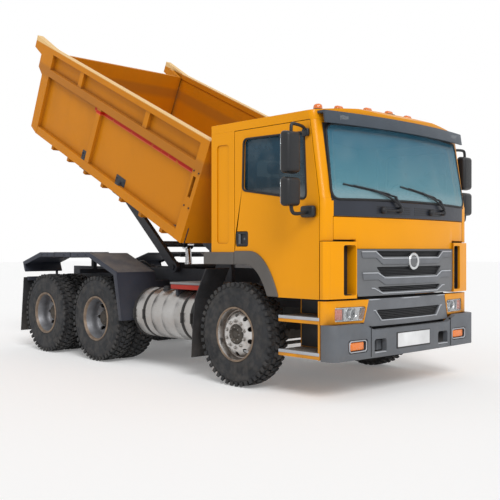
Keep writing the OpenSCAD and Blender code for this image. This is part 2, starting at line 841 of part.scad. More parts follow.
step_len = 535;
module cab_steps() {
    x = [door_front - step_len, door_front + 5];
    y = [side_y - 345, side_y];
    t = 20;
    color("#e89013") both_sides() {
        block(x, [y[0], y[0] + t], [395, lamp_top]);
        for (z = [[400, 455], [735, 790]])
            block(x, y, z);
        block([x[1] - t, x[1]], y, [395, lamp_top]);
        for (x = [x[0] + 80, x[1] - 240])
            block([x, x + 70], [rail_y + seat, y[0] + 1], [rail_bottom + 30, rail_bottom + 90]);
    }
}

module cab_flares() {
    color("#4a4d52") both_sides()
        block([cab_rear - 120, door_rear - clear / 2], [side_y - wall, side_y + flare_out], [arch_z, arch_z + flare_w]);
}

module front_panel() {
    color("#f09a16")
        intersection() {
            front_skin(0, flap_t, flap_low, flap_top);
            along(bulkhead_x, x_front)
                polygon(mirrored([[0, flap_low], [grille_y, flap_low], [grille_y, wing_low],
                    [panel_y, wing_low], [panel_y, flap_top], [0, flap_top]]));
        }
}

// Frame, V-shaped bars and backing of the upper grille
module grille() {
    bar_h = 55;
    dip = 45;
    low = grille_low + 8;
    pitch = (flap_low - low - 90) / 4;
    color("#44474c") {
        intersection() {
            front_skin(8, 40, low, flap_low);
            difference() {
                along(bulkhead_x, x_front)
                    polygon(mirrored([[0, low], [grille_y - 30, low], [grille_y, low + 60], [grille_y, flap_low],
                        [0, flap_low]]));
                difference() {
                    along(bulkhead_x, x_front + 1)
                        polygon(mirrored([[0, low + 50], [grille_y - 75, low + 50], [grille_y - 60, flap_low - 45],
                            [0, flap_low - 45]]));
                    for (i = [1 : 3])
                        along(bulkhead_x, x_front + 2)
                            polygon(mirrored([[0, low + 40 + pitch * i - dip],
                                [grille_y, low + 40 + pitch * i + dip * 0.3],
                                [grille_y, low + 40 + pitch * i + dip * 0.3 + bar_h],
                                [0, low + 40 + pitch * i - dip + bar_h]]));
                }
            }
        }
        intersection() {
            front_skin(-32, 40, low, flap_low);
            along(bulkhead_x, x_front)
                polygon(mirrored([[0, low + 10], [grille_y - 40, low + 10], [grille_y - 20, flap_low - 10],
                    [0, flap_low - 10]]));
        }
        // Boss of the round emblem's place
        translate([face_x - 30, 0, (flap_low + low) / 2 + 85]) rotate([0, 90, 0]) cylinder(r = 110, h = 50);
    }
}

module door() {
    lean = tan(rake) * (door_top - waist_z);
    arch = arch_z + flare_w;
    color("#f09a16")
        difference() {
            across(side_y - wall, side_y)
                polygon([[door_rear + clear / 2, arch], [x_steer + arch_flat + 100, arch],
                    [x_steer + arch_foot + flare_foot, cab_z], [door_front, cab_z], [door_front, waist_z],
                    [door_front - lean, door_top], [door_rear + clear / 2, door_top]]);
            across(side_y - wall - 1, side_y + 1) polygon(door_light(0));
            // Recess of the handle
            across(side_y - 20, side_y + 1)
                polygon(rounded([[door_rear + 20, 1475], [door_rear + 205, 1475], [door_rear + 205, 1635],
                    [door_rear + 20, 1635]], 25));
        }
}
module door_glass() {
    color([0.2, 0.24, 0.27, 0.7])
        across(side_y - 34, side_y - 28) polygon(door_light(-seat));
}
module door_flare() {
    color("#4a4d52")
        across(side_y - wall, side_y + flare_out)
            polygon([[door_rear + clear / 2, arch_z], [x_steer + arch_flat, arch_z],
                [x_steer + arch_foot, cab_z], [x_steer + arch_foot + flare_foot, cab_z],
                [x_steer + arch_flat + 100, arch_z + flare_w], [door_rear + clear / 2, arch_z + flare_w]]);
}
mirror_y = side_y + 255;
module mirrors() {
    x = door_front - 120;
    color("#191a1c") {
        for (z = [[1845, 2125], [2150, 2555]])
            block([x - 55, x + 55], [mirror_y - 100, mirror_y + 105], z);
        translate([x, mirror_y, 1800]) cylinder(r = 18, h = 780);
        pin(x, 2565, 18, side_y, mirror_y);
        pin(x, 1810, 18, side_y, mirror_y);
        block([x - 70, x + 90], [side_y, side_y + 60], [1750, 1860]);
        block([x - 75, x + 5], [side_y, side_y + 30], [2530, 2600]);
    }
}

// The bed's own frame: lying flat, x along its floor with the front wall at 0
module bed_place() {
    translate([hinge_x, 0, hinge_z]) rotate([0, bed_tilt, 0]) translate([foot_x, 0, foot_z]) children();
}
module bed() {
    l = bed_len;
    h = bed_h;
    mid = [h - 350, h - 250];
    color("#e08712")
        bed_place()
            difference() {
                union() {
                    block([-l, 0], [-plate_out, plate_out], [0, bed_plate]);
                    block([-bed_plate, 0], [-plate_out, plate_out], [0, h]);
                    block([-70, 0], [-side_out, side_out], [h - 40, h + rail_rise]);
                    for (i = [1 : ceil(l / 500) - 1])
                        block([-i * l / ceil(l / 500) - 30, -i * l / ceil(l / 500) + 30], [-plate_out, plate_out],
                            [-80, 1]);
                    both_sides() {
                        block([-l, 0], [plate_out - bed_plate, plate_out], [0, h]);
                        block([-l - 30, 0], [plate_out - 40, side_out], [h - 40, h + rail_rise]);
                        block([-l, 0], [plate_out - 1, side_out], mid);
                        block([-l, 0], [plate_out - 1, side_out - 5], [0, 110]);
                        difference() {
                            block([-150, 0], [plate_out - 1, side_out], [0, h]);
                            block([-110, -60], [plate_out + 20, side_out + 1], [h - 670, h - 420]);
                        }
                        for (u = [l / 3, l * 0.77])
                            block([-u - 45, -u + 45], [plate_out - 1, side_out - 10], [mid[1] - 1, h]);
                        block([-l * 0.61 - 50, -l * 0.61 + 50], [plate_out - 1, side_out - 10], [100, mid[0] + 1]);
                        across(plate_out - bed_plate, side_out)
                            polygon([[30 - l, 0], [-l - 150, 50], [-l - 170, h - 380], [-l - 310, h - 300],
                                [-l - 310, h - 120], [-l - 530, h - 70], [-l - 530, h + 100], [-l - 80, h + 50],
                                [30 - l, h + rail_rise]]);
                        // Sill and the lug that hangs from it to the hinge
                        block([150 - l, 0], sill_y, [-sill_h, 1]);
                        across(sill_y[0], sill_y[1])
                            polygon([[0, 0], [-foot_x + lug_r, -foot_z], [-foot_x - lug_r, -foot_z], [-300, -sill_h],
                                [-300, 0]]);
                        pin(-foot_x, -foot_z, lug_r, sill_y[0], sill_y[1]);
                    }
                }
                pin(-foot_x, -foot_z, hinge_pin_r + pin_gap, -sill_y[1] - 1, sill_y[1] + 1);
                pin(tail_pin[0], tail_pin[1], tail_pin_r + pin_gap, -side_out - 1, side_out + 1);
            }
}

module tailgate() {
    l = bed_len + 10;
    y = plate_out - bed_plate - 20;
    color("#e08712")
        bed_place() {
            block([-l - tailgate_t, -l], [-y, y], [5, bed_h - 20]);
            for (z = [60, bed_h / 2 - 40, bed_h - 160])
                block([-l - tailgate_t - 40, -l - tailgate_t + 1], [-y, y], [z, z + 80]);
            both_sides() {
                across(y - 50, y)
                    polygon([[-l - 5, bed_h - 200], [-l - 5, bed_h - 20], [tail_pin[0] + 30, tail_pin[1] + 45],
                        [tail_pin[0] - 40, tail_pin[1] + 20], [tail_pin[0] - 30, tail_pin[1] - 45]]);
                pin(tail_pin[0], tail_pin[1], tail_pin_r, y - 50, side_out);
            }
        }
}

module hoist_arms() {
    color("#22252a")
        translate([arm_x, 0, arm_z]) rotate([0, arm_rest, 0])
            difference() {
                union() {
                    both_sides() {
                        block([120 - arm_len, 0], arm_y, [-arm_half, arm_half]);
                        block([-arm_len, 121 - arm_len], arm_y, [-45, 45]);
                        pin(0, 0, 75, arm_y[0], arm_y[1]);
                        pin(-arm_len, 0, 45, arm_y[0], arm_y[1] + 1);
                        pin(-arm_len, 0, roller_r, arm_y[1], sill_y[1] - 5);
                    }
                    for (s = [eye_s, tube_s])
                        pin(-s, 0, tube_r, -arm_y[0] - 1, arm_y[0] + 1);
                }
                pin(0, 0, arm_pin_r + pin_gap, -arm_y[1] - 1, arm_y[1] + 1);
            }
}

module cylinder_place() {
    translate([base_x, 0, base_z]) rotate([0, 90 - rod_angle, 0]) children();
}
module hoist_cylinder() {
    barrel = closed_len - eye_r - 10;
    color("#2a2d31")
        cylinder_place()
            difference() {
                union() {
                    pin(0, 0, 55, -60, 60);
                    translate([0, 0, 40]) cylinder(r = 72, h = barrel - 40);
                }
                pin(0, 0, base_pin_r + pin_gap, -61, 61);
                translate([0, 0, 65]) cylinder(r = rod_r + pin_gap, h = barrel);
            }
}
module hoist_rod() {
    color("#c9ccd0")
        cylinder_place()
            difference() {
                union() {
                    translate([0, 0, 70 + stroke]) cylinder(r = rod_r, h = closed_len - 70 - tube_r - eye_gap - 5);
                    pin(0, rod_len, eye_r, -55, 55);
                }
                pin(0, rod_len, tube_r + eye_gap, -56, 56);
            }
}

module knuckle() {
    inner = wheel_y - 125;
    arm_level = [hub_z - lug_z[1] - 25, hub_z - lug_z[1] + 12];
    color("#2c2f34")
        difference() {
            union() {
                for (z = [-lug_z[1], lug_z[0]])
                    translate([x_steer, king_y, hub_z + z]) {
                        cylinder(r = 45, h = lug_z[1] - lug_z[0]);
                        translate([-45, 0, 0]) cube([90, inner - king_y + 1, lug_z[1] - lug_z[0]]);
                    }
                block([x_steer - 60, x_steer + 60], [inner, inner + 25], [hub_z - lug_z[1], hub_z + lug_z[1]]);
                pin(x_steer, hub_z, spindle_r, inner + 24, wheel_y + 90);
                // Steering arm to the tie rod's ball
                block([x_steer - steer_arm, x_steer], [king_y - 25, king_y + 25], arm_level);
                translate([x_steer, king_y, arm_level[0]]) cylinder(r = 45, h = arm_level[1] - arm_level[0]);
            }
            translate([x_steer, king_y, 0]) cylinder(r = king_r + pin_gap, h = 2 * hub_z);
            translate([tie_x, king_y, 0]) cylinder(r = tie_pin_r + pin_gap, h = hub_z);
        }
}
module tie_rod() {
    z = hub_z - lug_z[1] - 55;
    color("#2c2f34") {
        pin(tie_x, z, 20, -king_y, king_y);
        both_sides() translate([tie_x, king_y, z - 25]) {
            cylinder(r = 25, h = 50);
            cylinder(r = tie_pin_r, h = 50 + 42);
        }
    }
}

// Half a tyre's section: radius and distance from its middle
module tyre(y) {
    r = hub_z;
    w = tyre_w / 2;
    half = [[rim_r, w - 35], [rim_r + 40, w - 35], [rim_r + 80, w - 8], [rim_r + 135, w],
        [r - 60, w - 4], [r - 20, w - 16], [r, w - 42]];
    color("#1a1b1d")
        translate([0, y, 0]) rotate([-90, 0, 0])
            rotate_extrude()
                polygon(concat(half, [for (i = [len(half) - 1 : -1 : 0]) [half[i][0], -half[i][1]]]));
}
// Barrel of a rim, with the lip that holds the tyre's bead
module rim_barrel(y, inner, outer) {
    w = tyre_w / 2 - 35;
    translate([0, y, 0]) rotate([-90, 0, 0])
        rotate_extrude()
            polygon([[rim_r - rim_t, -inner], [rim_r - seat, -inner], [rim_r - seat, w + seat],
                [rim_r + 32, w + seat], [rim_r + 32, w + 12], [rim_r - rim_t, w + 12 + outer]]);
}
module disc(y0, y1, r) {
    translate([0, y0, 0]) rotate([-90, 0, 0]) cylinder(r = r, h = y1 - y0);
}
module front_rim() {
    color("#c3c6c9")
        difference() {
            union() {
                rim_barrel(wheel_y, tyre_w / 2 - 30, 0);
                disc(wheel_y + 60, wheel_y + 78, rim_r - rim_t + 1);
                disc(wheel_y - 90, wheel_y + tyre_w / 2 - 8, 95);
                disc(wheel_y + 77, wheel_y + 100, 175);
            }
            disc(wheel_y - 91, wheel_y + 92, spindle_r + pin_gap);
        }
}
module twin_rims() {
    color("#5b5650")
        difference() {
            union() {
                rim_barrel(wheel_y, wheel_y - twin_y, 0);
                translate([0, 2 * twin_y, 0]) mirror([0, 1, 0]) rim_barrel(wheel_y, wheel_y - twin_y, 0);
                disc(twin_y + 30, twin_y + 50, rim_r - rim_t + 1);
                disc(twin_y - 50, wheel_y - 5, 130);
            }
            disc(twin_y - 51, wheel_y - 55, tube_axle_r + pin_gap);
        }
}
module at_wheel(x) {
    translate([x, 0, hub_z]) children();
}
module twin_tyres() {
    tyre(wheel_y);
    tyre(inner_wheel_y);
}

frame();
subframe();
tank_brackets();
fender_brackets();
front_axle();
drive_axles();
leaf_springs();
drive_shafts();
engine();
fuel_tank();
battery_box();
hydraulic_tank();
rear_fenders();
mud_flaps();
wheel_guards();
bumper();
lower_grille();
headlamp_panels();
headlamps();
cab();
roof();
sun_visor();
roof_lamps();
cab_windows();
dashboard();
seats();
steering_wheel();
air_deflectors();
cab_steps();
cab_flares();
front_panel();
grille();
mirror([0, 1, 0]) door();  // door_right
mirror([0, 1, 0]) door_glass();  // door_glass_right
mirror([0, 1, 0]) door_flare();  // door_flare_right
mirror([0, 1, 0]) mirrors();  // mirrors_right
door();  // door_left
door_glass();  // door_glass_left
door_flare();  // door_flare_left
mirrors();  // mirrors_left
bed();
tailgate();
hoist_arms();
hoist_cylinder();
hoist_rod();
mirror([0, 1, 0]) knuckle();  // knuckle_right
knuckle();  // knuckle_left
tie_rod();
mirror([0, 1, 0]) at_wheel(x_steer) tyre(wheel_y);  // tyre_front_right
mirror([0, 1, 0]) at_wheel(x_steer) front_rim();  // rim_front_right
at_wheel(x_steer) tyre(wheel_y);  // tyre_front_left
at_wheel(x_steer) front_rim();  // rim_front_left
mirror([0, 1, 0]) at_wheel(x_drive[0]) twin_tyres();  // tyres_middle_right
mirror([0, 1, 0]) at_wheel(x_drive[0]) twin_rims();  // rims_middle_right
at_wheel(x_drive[0]) twin_tyres();  // tyres_middle_left
at_wheel(x_drive[0]) twin_rims();  // rims_middle_left
mirror([0, 1, 0]) at_wheel(x_drive[1]) twin_tyres();  // tyres_rear_right
mirror([0, 1, 0]) at_wheel(x_drive[1]) twin_rims();  // rims_rear_right
at_wheel(x_drive[1]) twin_tyres();  // tyres_rear_left
at_wheel(x_drive[1]) twin_rims();  // rims_rear_left
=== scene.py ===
from contextlib import contextmanager
from math import atan2, cos, hypot, pi, radians, sin

import bmesh
import bpy
from mathutils import Matrix, Vector


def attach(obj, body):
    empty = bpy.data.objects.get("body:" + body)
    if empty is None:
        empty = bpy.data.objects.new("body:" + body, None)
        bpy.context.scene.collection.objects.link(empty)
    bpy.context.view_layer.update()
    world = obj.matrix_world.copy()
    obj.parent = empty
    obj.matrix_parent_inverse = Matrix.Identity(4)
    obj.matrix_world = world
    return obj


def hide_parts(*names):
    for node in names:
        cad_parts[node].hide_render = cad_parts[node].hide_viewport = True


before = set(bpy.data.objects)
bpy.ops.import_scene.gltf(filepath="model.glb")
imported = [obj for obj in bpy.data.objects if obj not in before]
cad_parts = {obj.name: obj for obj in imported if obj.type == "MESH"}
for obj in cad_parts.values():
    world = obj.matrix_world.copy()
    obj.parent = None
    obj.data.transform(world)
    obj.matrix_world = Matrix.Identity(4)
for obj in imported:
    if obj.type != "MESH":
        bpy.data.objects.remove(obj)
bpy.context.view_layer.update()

SIDES = {"right": -1, "left": 1}
X, Y, Z = Vector((1, 0, 0)), Vector((0, 1, 0)), Vector((0, 0, 1))


# ---------------------------------------------------------------- modelling

SAME_POINT = 1e-5


def clear():
    bpy.ops.object.select_all(action="DESELECT")


def take_all():
    bpy.ops.mesh.select_all(action="SELECT")


def mend():
    """In edit mode, merges doubled points and turns every face outwards."""
    take_all()
    bpy.ops.mesh.remove_doubles(threshold=SAME_POINT)
    bpy.ops.mesh.normals_make_consistent(inside=False)


def choose(*pieces):
    clear()
    for piece in pieces:
        piece.select_set(True)
    bpy.context.view_layer.objects.active = pieces[0]


def named(name):
    """Gives the active piece and its mesh one name."""
    piece = bpy.context.object
    piece.name = name
    piece.data.name = name
    return piece


def apply_place(piece, place=None):
    """Puts the piece's place, or the one given, into its mesh."""
    if place is not None:
        piece.matrix_world = place
    choose(piece)
    bpy.ops.object.transform_apply(location=True, rotation=True, scale=True)
    return piece


def settle(name):
    """Names the piece just made and puts its place into its mesh."""
    return apply_place(named(name))


@contextmanager
def editing(piece, mode="FACE"):
    choose(piece)
    bpy.ops.object.mode_set(mode="EDIT")
    bpy.ops.mesh.select_mode(type=mode)
    take_all()
    yield
    bpy.ops.object.mode_set(mode="OBJECT")


def pick(piece, test):
    """In edit mode, selects the faces whose middle and normal pass the test."""
    bpy.ops.mesh.select_all(action="DESELECT")
    mesh = bmesh.from_edit_mesh(piece.data)
    for face in mesh.faces:
        if test(face.calc_center_median(), face.normal):
            face.select_set(True)
    bmesh.update_edit_mesh(piece.data)


def push(step):
    bpy.ops.mesh.extrude_region_move(TRANSFORM_OT_translate={"value": step})


def shift(step):
    bpy.ops.transform.translate(value=step)


def grow(factors, about):
    bpy.ops.transform.resize(value=factors, center_override=about)


def modify(piece, kind, **settings):
    """Adds a modifier with its settings and applies it."""
    choose(piece)
    modifier = piece.modifiers.new(kind.title(), kind)
    for key, value in settings.items():
        setattr(modifier, key, value)
    bpy.ops.object.modifier_apply(modifier=modifier.name)
    return piece


def ease(piece, width, segments=2, angle=32):
    """Rounds the sharp edges and shades the faces between them."""
    modify(piece, "BEVEL", width=width, segments=segments, limit_method="ANGLE",
           angle_limit=radians(angle), miter_outer="MITER_ARC")
    return shade(piece)


def shade(piece, angle=40):
    choose(piece)
    bpy.ops.object.shade_smooth_by_angle(angle=radians(angle))
    return piece


def block(name, low, high, width=0.0, segments=2):
    """A bar between two corners, its edges rounded."""
    clear()
    low, high = Vector(low), Vector(high)
    bpy.ops.mesh.primitive_cube_add(size=1, location=(low + high) / 2)
    bpy.context.object.scale = high - low
    piece = settle(name)
    return ease(piece, width, segments) if width else piece


def drum(name, centre, axis, radius, depth, sides=32, width=0.0):
    """A round bar about an axis, its rims rounded."""
    clear()
    turned = Vector(axis).to_track_quat("Z", "Y").to_euler()
    bpy.ops.mesh.primitive_cylinder_add(
        vertices=sides, radius=radius, depth=depth, location=centre, rotation=turned)
    piece = settle(name)
    return ease(piece, width) if width else piece


def lathe(name, centre, outward, profile, sides=48, loop=True, axis=Y):
    """Spins a line of (along, radius) points about an axis through the centre."""
    centre, axis = Vector(centre), Vector(axis)
    radial = Z if abs(axis.z) < 0.5 else X
    points = [centre + axis * (outward * along) + radial * radius for along, radius in profile]
    if loop:
        points.append(points[0])
    clear()
    bpy.ops.mesh.primitive_plane_add(size=0.01, location=points[0])
    piece = settle(name)
    with editing(piece, "VERT"):
        bpy.ops.mesh.merge(type="CENTER")
        for before, after in zip(points, points[1:]):
            push(after - before)
        take_all()
        bpy.ops.mesh.spin(steps=sides, angle=2 * pi, center=centre, axis=axis)
        mend()
    return shade(piece)


def prism(name, outline, step, width=0.0, segments=2):
    """A plate whose edge follows the outline, made thick by one step."""
    clear()
    bpy.ops.mesh.primitive_plane_add(size=0.01, location=outline[0])
    piece = settle(name)
    with editing(piece, "VERT"):
        bpy.ops.mesh.merge(type="CENTER")
        for before, after in zip(outline, outline[1:]):
            push(Vector(after) - Vector(before))
        take_all()
        bpy.ops.mesh.edge_face_add()
        take_all()
        push(step)
        take_all()
        bpy.ops.mesh.normals_make_consistent(inside=False)
    return ease(piece, width, segments) if width else shade(piece)


def tube(name, points, radius, sides=8, smooth=True, loop=False):
    """A round bar or hose along points."""
    clear()
    bpy.ops.curve.primitive_bezier_curve_add(location=(0, 0, 0))
    line = bpy.context.object.data
    line.dimensions = "3D"
    line.splines.clear()
    spline = line.splines.new("NURBS" if smooth else "POLY")
    spline.points.add(len(points) - 1)
    for point, place in zip(spline.points, points):
        point.co = (*place, 1)
    if smooth:
        spline.order_u = 4 if len(points) > 3 else len(points)
    spline.use_endpoint_u = not loop
    spline.use_cyclic_u = loop
    line.resolution_u = 5
    line.bevel_depth = radius
    line.bevel_resolution = max(1, sides // 4)
    line.use_fill_caps = not loop
    bpy.ops.object.convert(target="MESH")
    piece = settle(name)
    with editing(piece):
        mend()
    return shade(piece, 50)


def ringed(piece, count, centre, axis=Y):
    """Copies the whole mesh round an axis until there are count of it."""
    with editing(piece):
        bpy.ops.mesh.spin(steps=count - 1, dupli=True, angle=2 * pi * (count - 1) / count,
                          center=centre, axis=axis)
    return piece


def face_out(piece):
    with editing(piece):
        bpy.ops.mesh.normals_make_consistent(inside=False)
    return piece


def copied(piece, name, step=(0, 0, 0)):
    choose(piece)
    bpy.ops.object.duplicate(linked=False)
    twin = bpy.context.object
    twin.location = step
    return settle(name)


def mirrored(piece, name):
    """A copy on the other side of the middle line, its faces turned out again."""
    choose(piece)
    bpy.ops.object.duplicate(linked=False)
    bpy.context.object.scale = (1, -1, 1)
    return face_out(settle(name))


def joined(name, *pieces):
    choose(*pieces)
    if len(pieces) > 1:
        bpy.ops.object.join()
    return named(name)


def cut(piece, *tools):
    """Takes the tools' shapes out of the piece."""
    tool = joined("tool", *tools)
    modify(piece, "BOOLEAN", operation="DIFFERENCE", solver="EXACT", object=tool)
    bpy.data.objects.remove(tool)
    return shade(piece)


def fit(piece, body, slot, finish, *replaced):
    """Gives the piece its finish and hangs it on its body."""
    piece.data.materials.clear()
    piece.data.materials.append(finish)
    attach(piece, body)
    if replaced:
        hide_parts(*replaced)
    return piece


# ---------------------------------------------------------------- finishes

class Wire:
    """One output of a shader node, used in plain sums."""

    def __init__(self, finish, socket):
        self.finish, self.socket = finish, socket

    def sum(self, operation, first, second):
        return self.finish.node("ShaderNodeMath", {"operation": operation}, {0: first, 1: second})

    def __add__(self, other):
        return self.sum("ADD", self, other)

    def __sub__(self, other):
        return self.sum("SUBTRACT", self, other)

    def __rsub__(self, other):
        return self.sum("SUBTRACT", other, self)

    def __mul__(self, other):
        return self.sum("MULTIPLY", self, other)

    def __truediv__(self, other):
        return self.sum("DIVIDE", self, other)

    def __pow__(self, other):
        return self.sum("POWER", self, other)

    def __gt__(self, other):
        return self.sum("GREATER_THAN", self, other)

    def __lt__(self, other):
        return self.sum("LESS_THAN", self, other)

    def __abs__(self):
        return self.sum("ABSOLUTE", self, 0)

    __radd__, __rmul__ = __add__, __mul__

    def between(self, low, high):
        """0 up to low, 1 from high, with a straight rise between."""
        return self.finish.node("ShaderNodeMapRange", {"clamp": True}, {
            "Value": self, "From Min": low, "From Max": high})


class Finish:
    """One material: a Principled shader with what varies over the surface."""

    def __init__(self, name, **constants):
        self.material = bpy.data.materials.new(name)
        self.material.use_nodes = True
        self.nodes = self.material.node_tree.nodes
        self.links = self.material.node_tree.links
        self.nodes.clear()
        self.shader = self.nodes.new("ShaderNodeBsdfPrincipled")
        output = self.nodes.new("ShaderNodeOutputMaterial")
        self.links.new(self.shader.outputs[0], output.inputs[0])
        for socket, value in constants.items():
            self.put(socket.replace("_", " ").title().replace("Ior", "IOR"), value)

    def feed(self, socket, value):
        if isinstance(value, Wire):
            self.links.new(value.socket, socket)
        elif isinstance(value, tuple) and len(value) == 3 and socket.type == "RGBA":
            socket.default_value = (*value, 1)
        else:
            socket.default_value = value

    def node(self, kind, settings, inputs, take=0):
        """Adds a node: its settings first, then what its sockets are given."""
        made = self.nodes.new(kind)
        for key, value in settings.items():
            setattr(made, key, value)
        for key, value in inputs.items():
            self.feed(made.inputs[key], value)
        return Wire(self, made.outputs[take])

    def put(self, socket, value):
        self.feed(self.shader.inputs[socket], value)

    def base_colour(self):
        """What feeds the colour now, to be mixed over."""
        return Wire(self, self.shader.inputs["Base Color"].links[0].from_socket)

    def place(self):
        return self.node("ShaderNodeTexCoord", {}, {}, "Object")

    def axis(self, direction, start=0.0):
        """How far a point lies along a direction, in metres."""
        return self.node("ShaderNodeVectorMath", {"operation": "DOT_PRODUCT"}, {
            0: self.place(), 1: direction}, "Value") - start

    def facing(self, direction):
        """How much a face looks along a direction."""
        normal = self.node("ShaderNodeNewGeometry", {}, {}, "Normal")
        return self.node("ShaderNodeVectorMath", {"operation": "DOT_PRODUCT"}, {
            0: normal, 1: direction}, "Value")

    def noise(self, scale, detail=3.0, stretch=None, roughness=0.55):
        place = self.place()
        if stretch:
            place = self.node("ShaderNodeMapping", {}, {"Vector": place, "Scale": stretch})
        return self.node("ShaderNodeTexNoise", {}, {
            "Vector": place, "Scale": scale, "Detail": detail, "Roughness": roughness}, "Fac")

    def mix(self, factor, first, second):
        return self.node("ShaderNodeMix", {"data_type": "RGBA"}, {
            0: factor, 6: first, 7: second}, 2)

    def bump(self, height, distance, strength=1.0):
        self.put("Normal", self.node("ShaderNodeBump", {}, {
            "Height": height, "Distance": distance, "Strength": strength}))

    def corners(self, reach):
        """1 in tight corners, 0 in the open: where shade falls, used for painted shade."""
        return 1 - self.node("ShaderNodeAmbientOcclusion", {"samples": 6}, {"Distance": reach},
                             "AO")


def dusted(finish, colour, dust, low, high, amount=0.6, top=0.35):
    """Lays dust low down and on ledges that face up, broken up by noise."""
    patches = finish.noise(5, 6).between(0.35, 0.7)
    near_ground = 1 - finish.axis(Z).between(low, high)
    ledges = finish.facing(Z).between(0.5, 0.95)
    mask = (near_ground * amount + ledges * top) * (patches * 0.7 + 0.3)
    return finish.mix(mask.between(0, 1), colour, dust)


def make_paint(name, colour, shade_and_dirt_colour, roughness, coat, dust_height, wear):
    """Sprayed paint in two tones: the darker one is painted shade in corners and dirt streaks; slow
    colour drift, dust low down.
    """
    f = Finish(name, coat_weight=coat, coat_roughness=0.10, specular_ior_level=0.14)
    drift = f.noise(1.3, 3).between(0.35, 0.7)
    base = f.mix(drift * 0.5, colour, tuple(c * 0.9 for c in colour))
    # Painted shade: ambient occlusion darkens the corners towards the darker tone; noise adds dirt
    # streaks in the same tone.
    shade_and_dirt = (f.corners(0.12) * 1.1 + f.noise(3.5, 5, (1, 1, 0.35)).between(0.5, 0.8) * wear)
    base = f.mix(shade_and_dirt.between(0.05, 1.1), base, shade_and_dirt_colour)
    base = dusted(f, base, (0.23, 0.14, 0.07), 0.35, dust_height, 0.75, 0.12)
    f.put("Base Color", base)
    f.put("Roughness", f.noise(24, 4) * 0.12 + roughness)
    f.bump(f.noise(260, 2), 0.0006, 0.12)
    return f


def make_cab_paint(name="cab_paint"):
    return make_paint(name, (0.86, 0.335, 0.0015), (0.28, 0.09, 0.002), 0.30, 0.06, 1.1, 0.08)


FACE_X, FACE_R, WAIST_Z = 3.02525, 6.3, 1.93
RAKE = radians(9)
BOW = 0.0794        # half the front's curvature: how it falls back with the square of Y
ROOF_BOW = 0.058


def make_lined_paint():
    """Cab paint outside, grey trim inside."""
    f = make_cab_paint("cab_paint_lined")
    depth = f.axis((cos(RAKE), 0, sin(RAKE)), 3.285) + abs(f.axis(Y)) ** 2 * BOW
    upright = f.axis(X, 3.025) + abs(f.axis(Y)) ** 2 * BOW
    inside = (depth < -0.045) * (upright < -0.035) * (f.axis(X) > 1.34) * (abs(f.axis(Y)) < 1.205)
    inside = inside * (f.axis(Z) > 1.436) * (f.axis(Z, 2.815) + abs(f.axis(Y)) ** 2 * ROOF_BOW < 0)
    lining = f.mix(f.noise(3, 3), (0.13, 0.14, 0.145), (0.18, 0.19, 0.195))
    f.put("Base Color", f.mix(inside, f.base_colour(), lining))
    f.put("Coat Weight", (1 - inside) * 0.06)
    return f.material


def make_grille_grey():
    """Grey moulding whose sunken back is painted nearly black: painted shade."""
    f = Finish("grille_grey", specular_ior_level=0.4)
    depth = f.axis(X, FACE_X) + f.axis(Y) ** 2 * BOW
    # Painted shade: the deeper a face lies behind the front, the nearer black it turns.
    recess_shade = 1 - depth.between(-0.026, -0.014)
    base = f.mix(f.noise(4, 4).between(0.35, 0.7) * 0.5, (0.125, 0.13, 0.138), (0.165, 0.17, 0.178))
    f.put("Base Color", f.mix(recess_shade, base, (0.006, 0.006, 0.007)))
    f.put("Roughness", f.noise(30, 4) * 0.15 + 0.36)
    f.bump(f.noise(320, 2), 0.0006, 0.25)
    return f.material


TILT = radians(25.7)
BED_UP, BED_AHEAD = (sin(TILT), 0, cos(TILT)), (cos(TILT), 0, -sin(TILT))
HINGE_DROP, HINGE_BACK = 0.16, 0.056        # the hinge from the floor's front edge
BED_HINGE = Vector((0.5824, 0, 1.4))


def make_bed_paint():
    """Hard-worked paint: painted shade under its rails, a painted highlight along its top edge, worn
    in patches, with a narrow red line that is darker (painted shade) in its upper part.
    """
    f = make_paint("bed_paint", (0.62, 0.215, 0.004), (0.22, 0.075, 0.008), 0.42, 0.03, 0.9, 0.16)
    height = f.axis(BED_UP, BED_HINGE.dot(Vector(BED_UP)) + HINGE_DROP)
    along = f.axis(BED_AHEAD, BED_HINGE.dot(Vector(BED_AHEAD)) + HINGE_BACK)
    base = f.base_colour()
    patches = f.noise(2.2, 5).between(0.45, 0.8)
    base = f.mix(patches * 0.22, base, (0.30, 0.12, 0.02))
    # Painted shade: a darker band under the rail.
    under_rail_shade = height.between(0.79, 0.86) * (1 - height.between(0.955, 1.0))
    base = f.mix(under_rail_shade * 0.35, base, (0.20, 0.085, 0.03))
    # Painted highlight: a pale band along the top edge.
    top_edge_highlight = height.between(1.225, 1.236)
    base = f.mix(top_edge_highlight * 0.75, base, (0.90, 0.66, 0.32))
    line = (height > 0.776) * (height < 0.824) * (along < -0.15) * (along > -2.46)
    line = line * (abs(f.axis(Y)) > 1.142) * f.noise(9, 4).between(0.28, 0.4)
    # The red line's upper part is a darker copy of its red: painted shade under the rail.
    base = f.mix(line * 0.95, base, f.mix(height > 0.790, (0.72, 0.11, 0.05), (0.50, 0.010, 0.006)))
    f.put("Base Color", base)
    return f.material


def make_dark_metal(name, colour, roughness=0.5, dust=(0.13, 0.105, 0.08), amount=0.55, top=0.45,
                    reach=1.0):
    """Painted steel near the road, with dust low down and on its ledges."""
    f = Finish(name, specular_ior_level=0.45)
    shade_of = f.mix(f.noise(2.2, 4).between(0.3, 0.75), colour, tuple(c * 1.6 for c in colour))
    f.put("Base Color", dusted(f, shade_of, dust, 0.1, reach, amount, top))
    f.put("Roughness", f.noise(18, 5) * 0.25 + roughness)
    f.bump(f.noise(60, 4), 0.0015, 0.25)
    return f.material


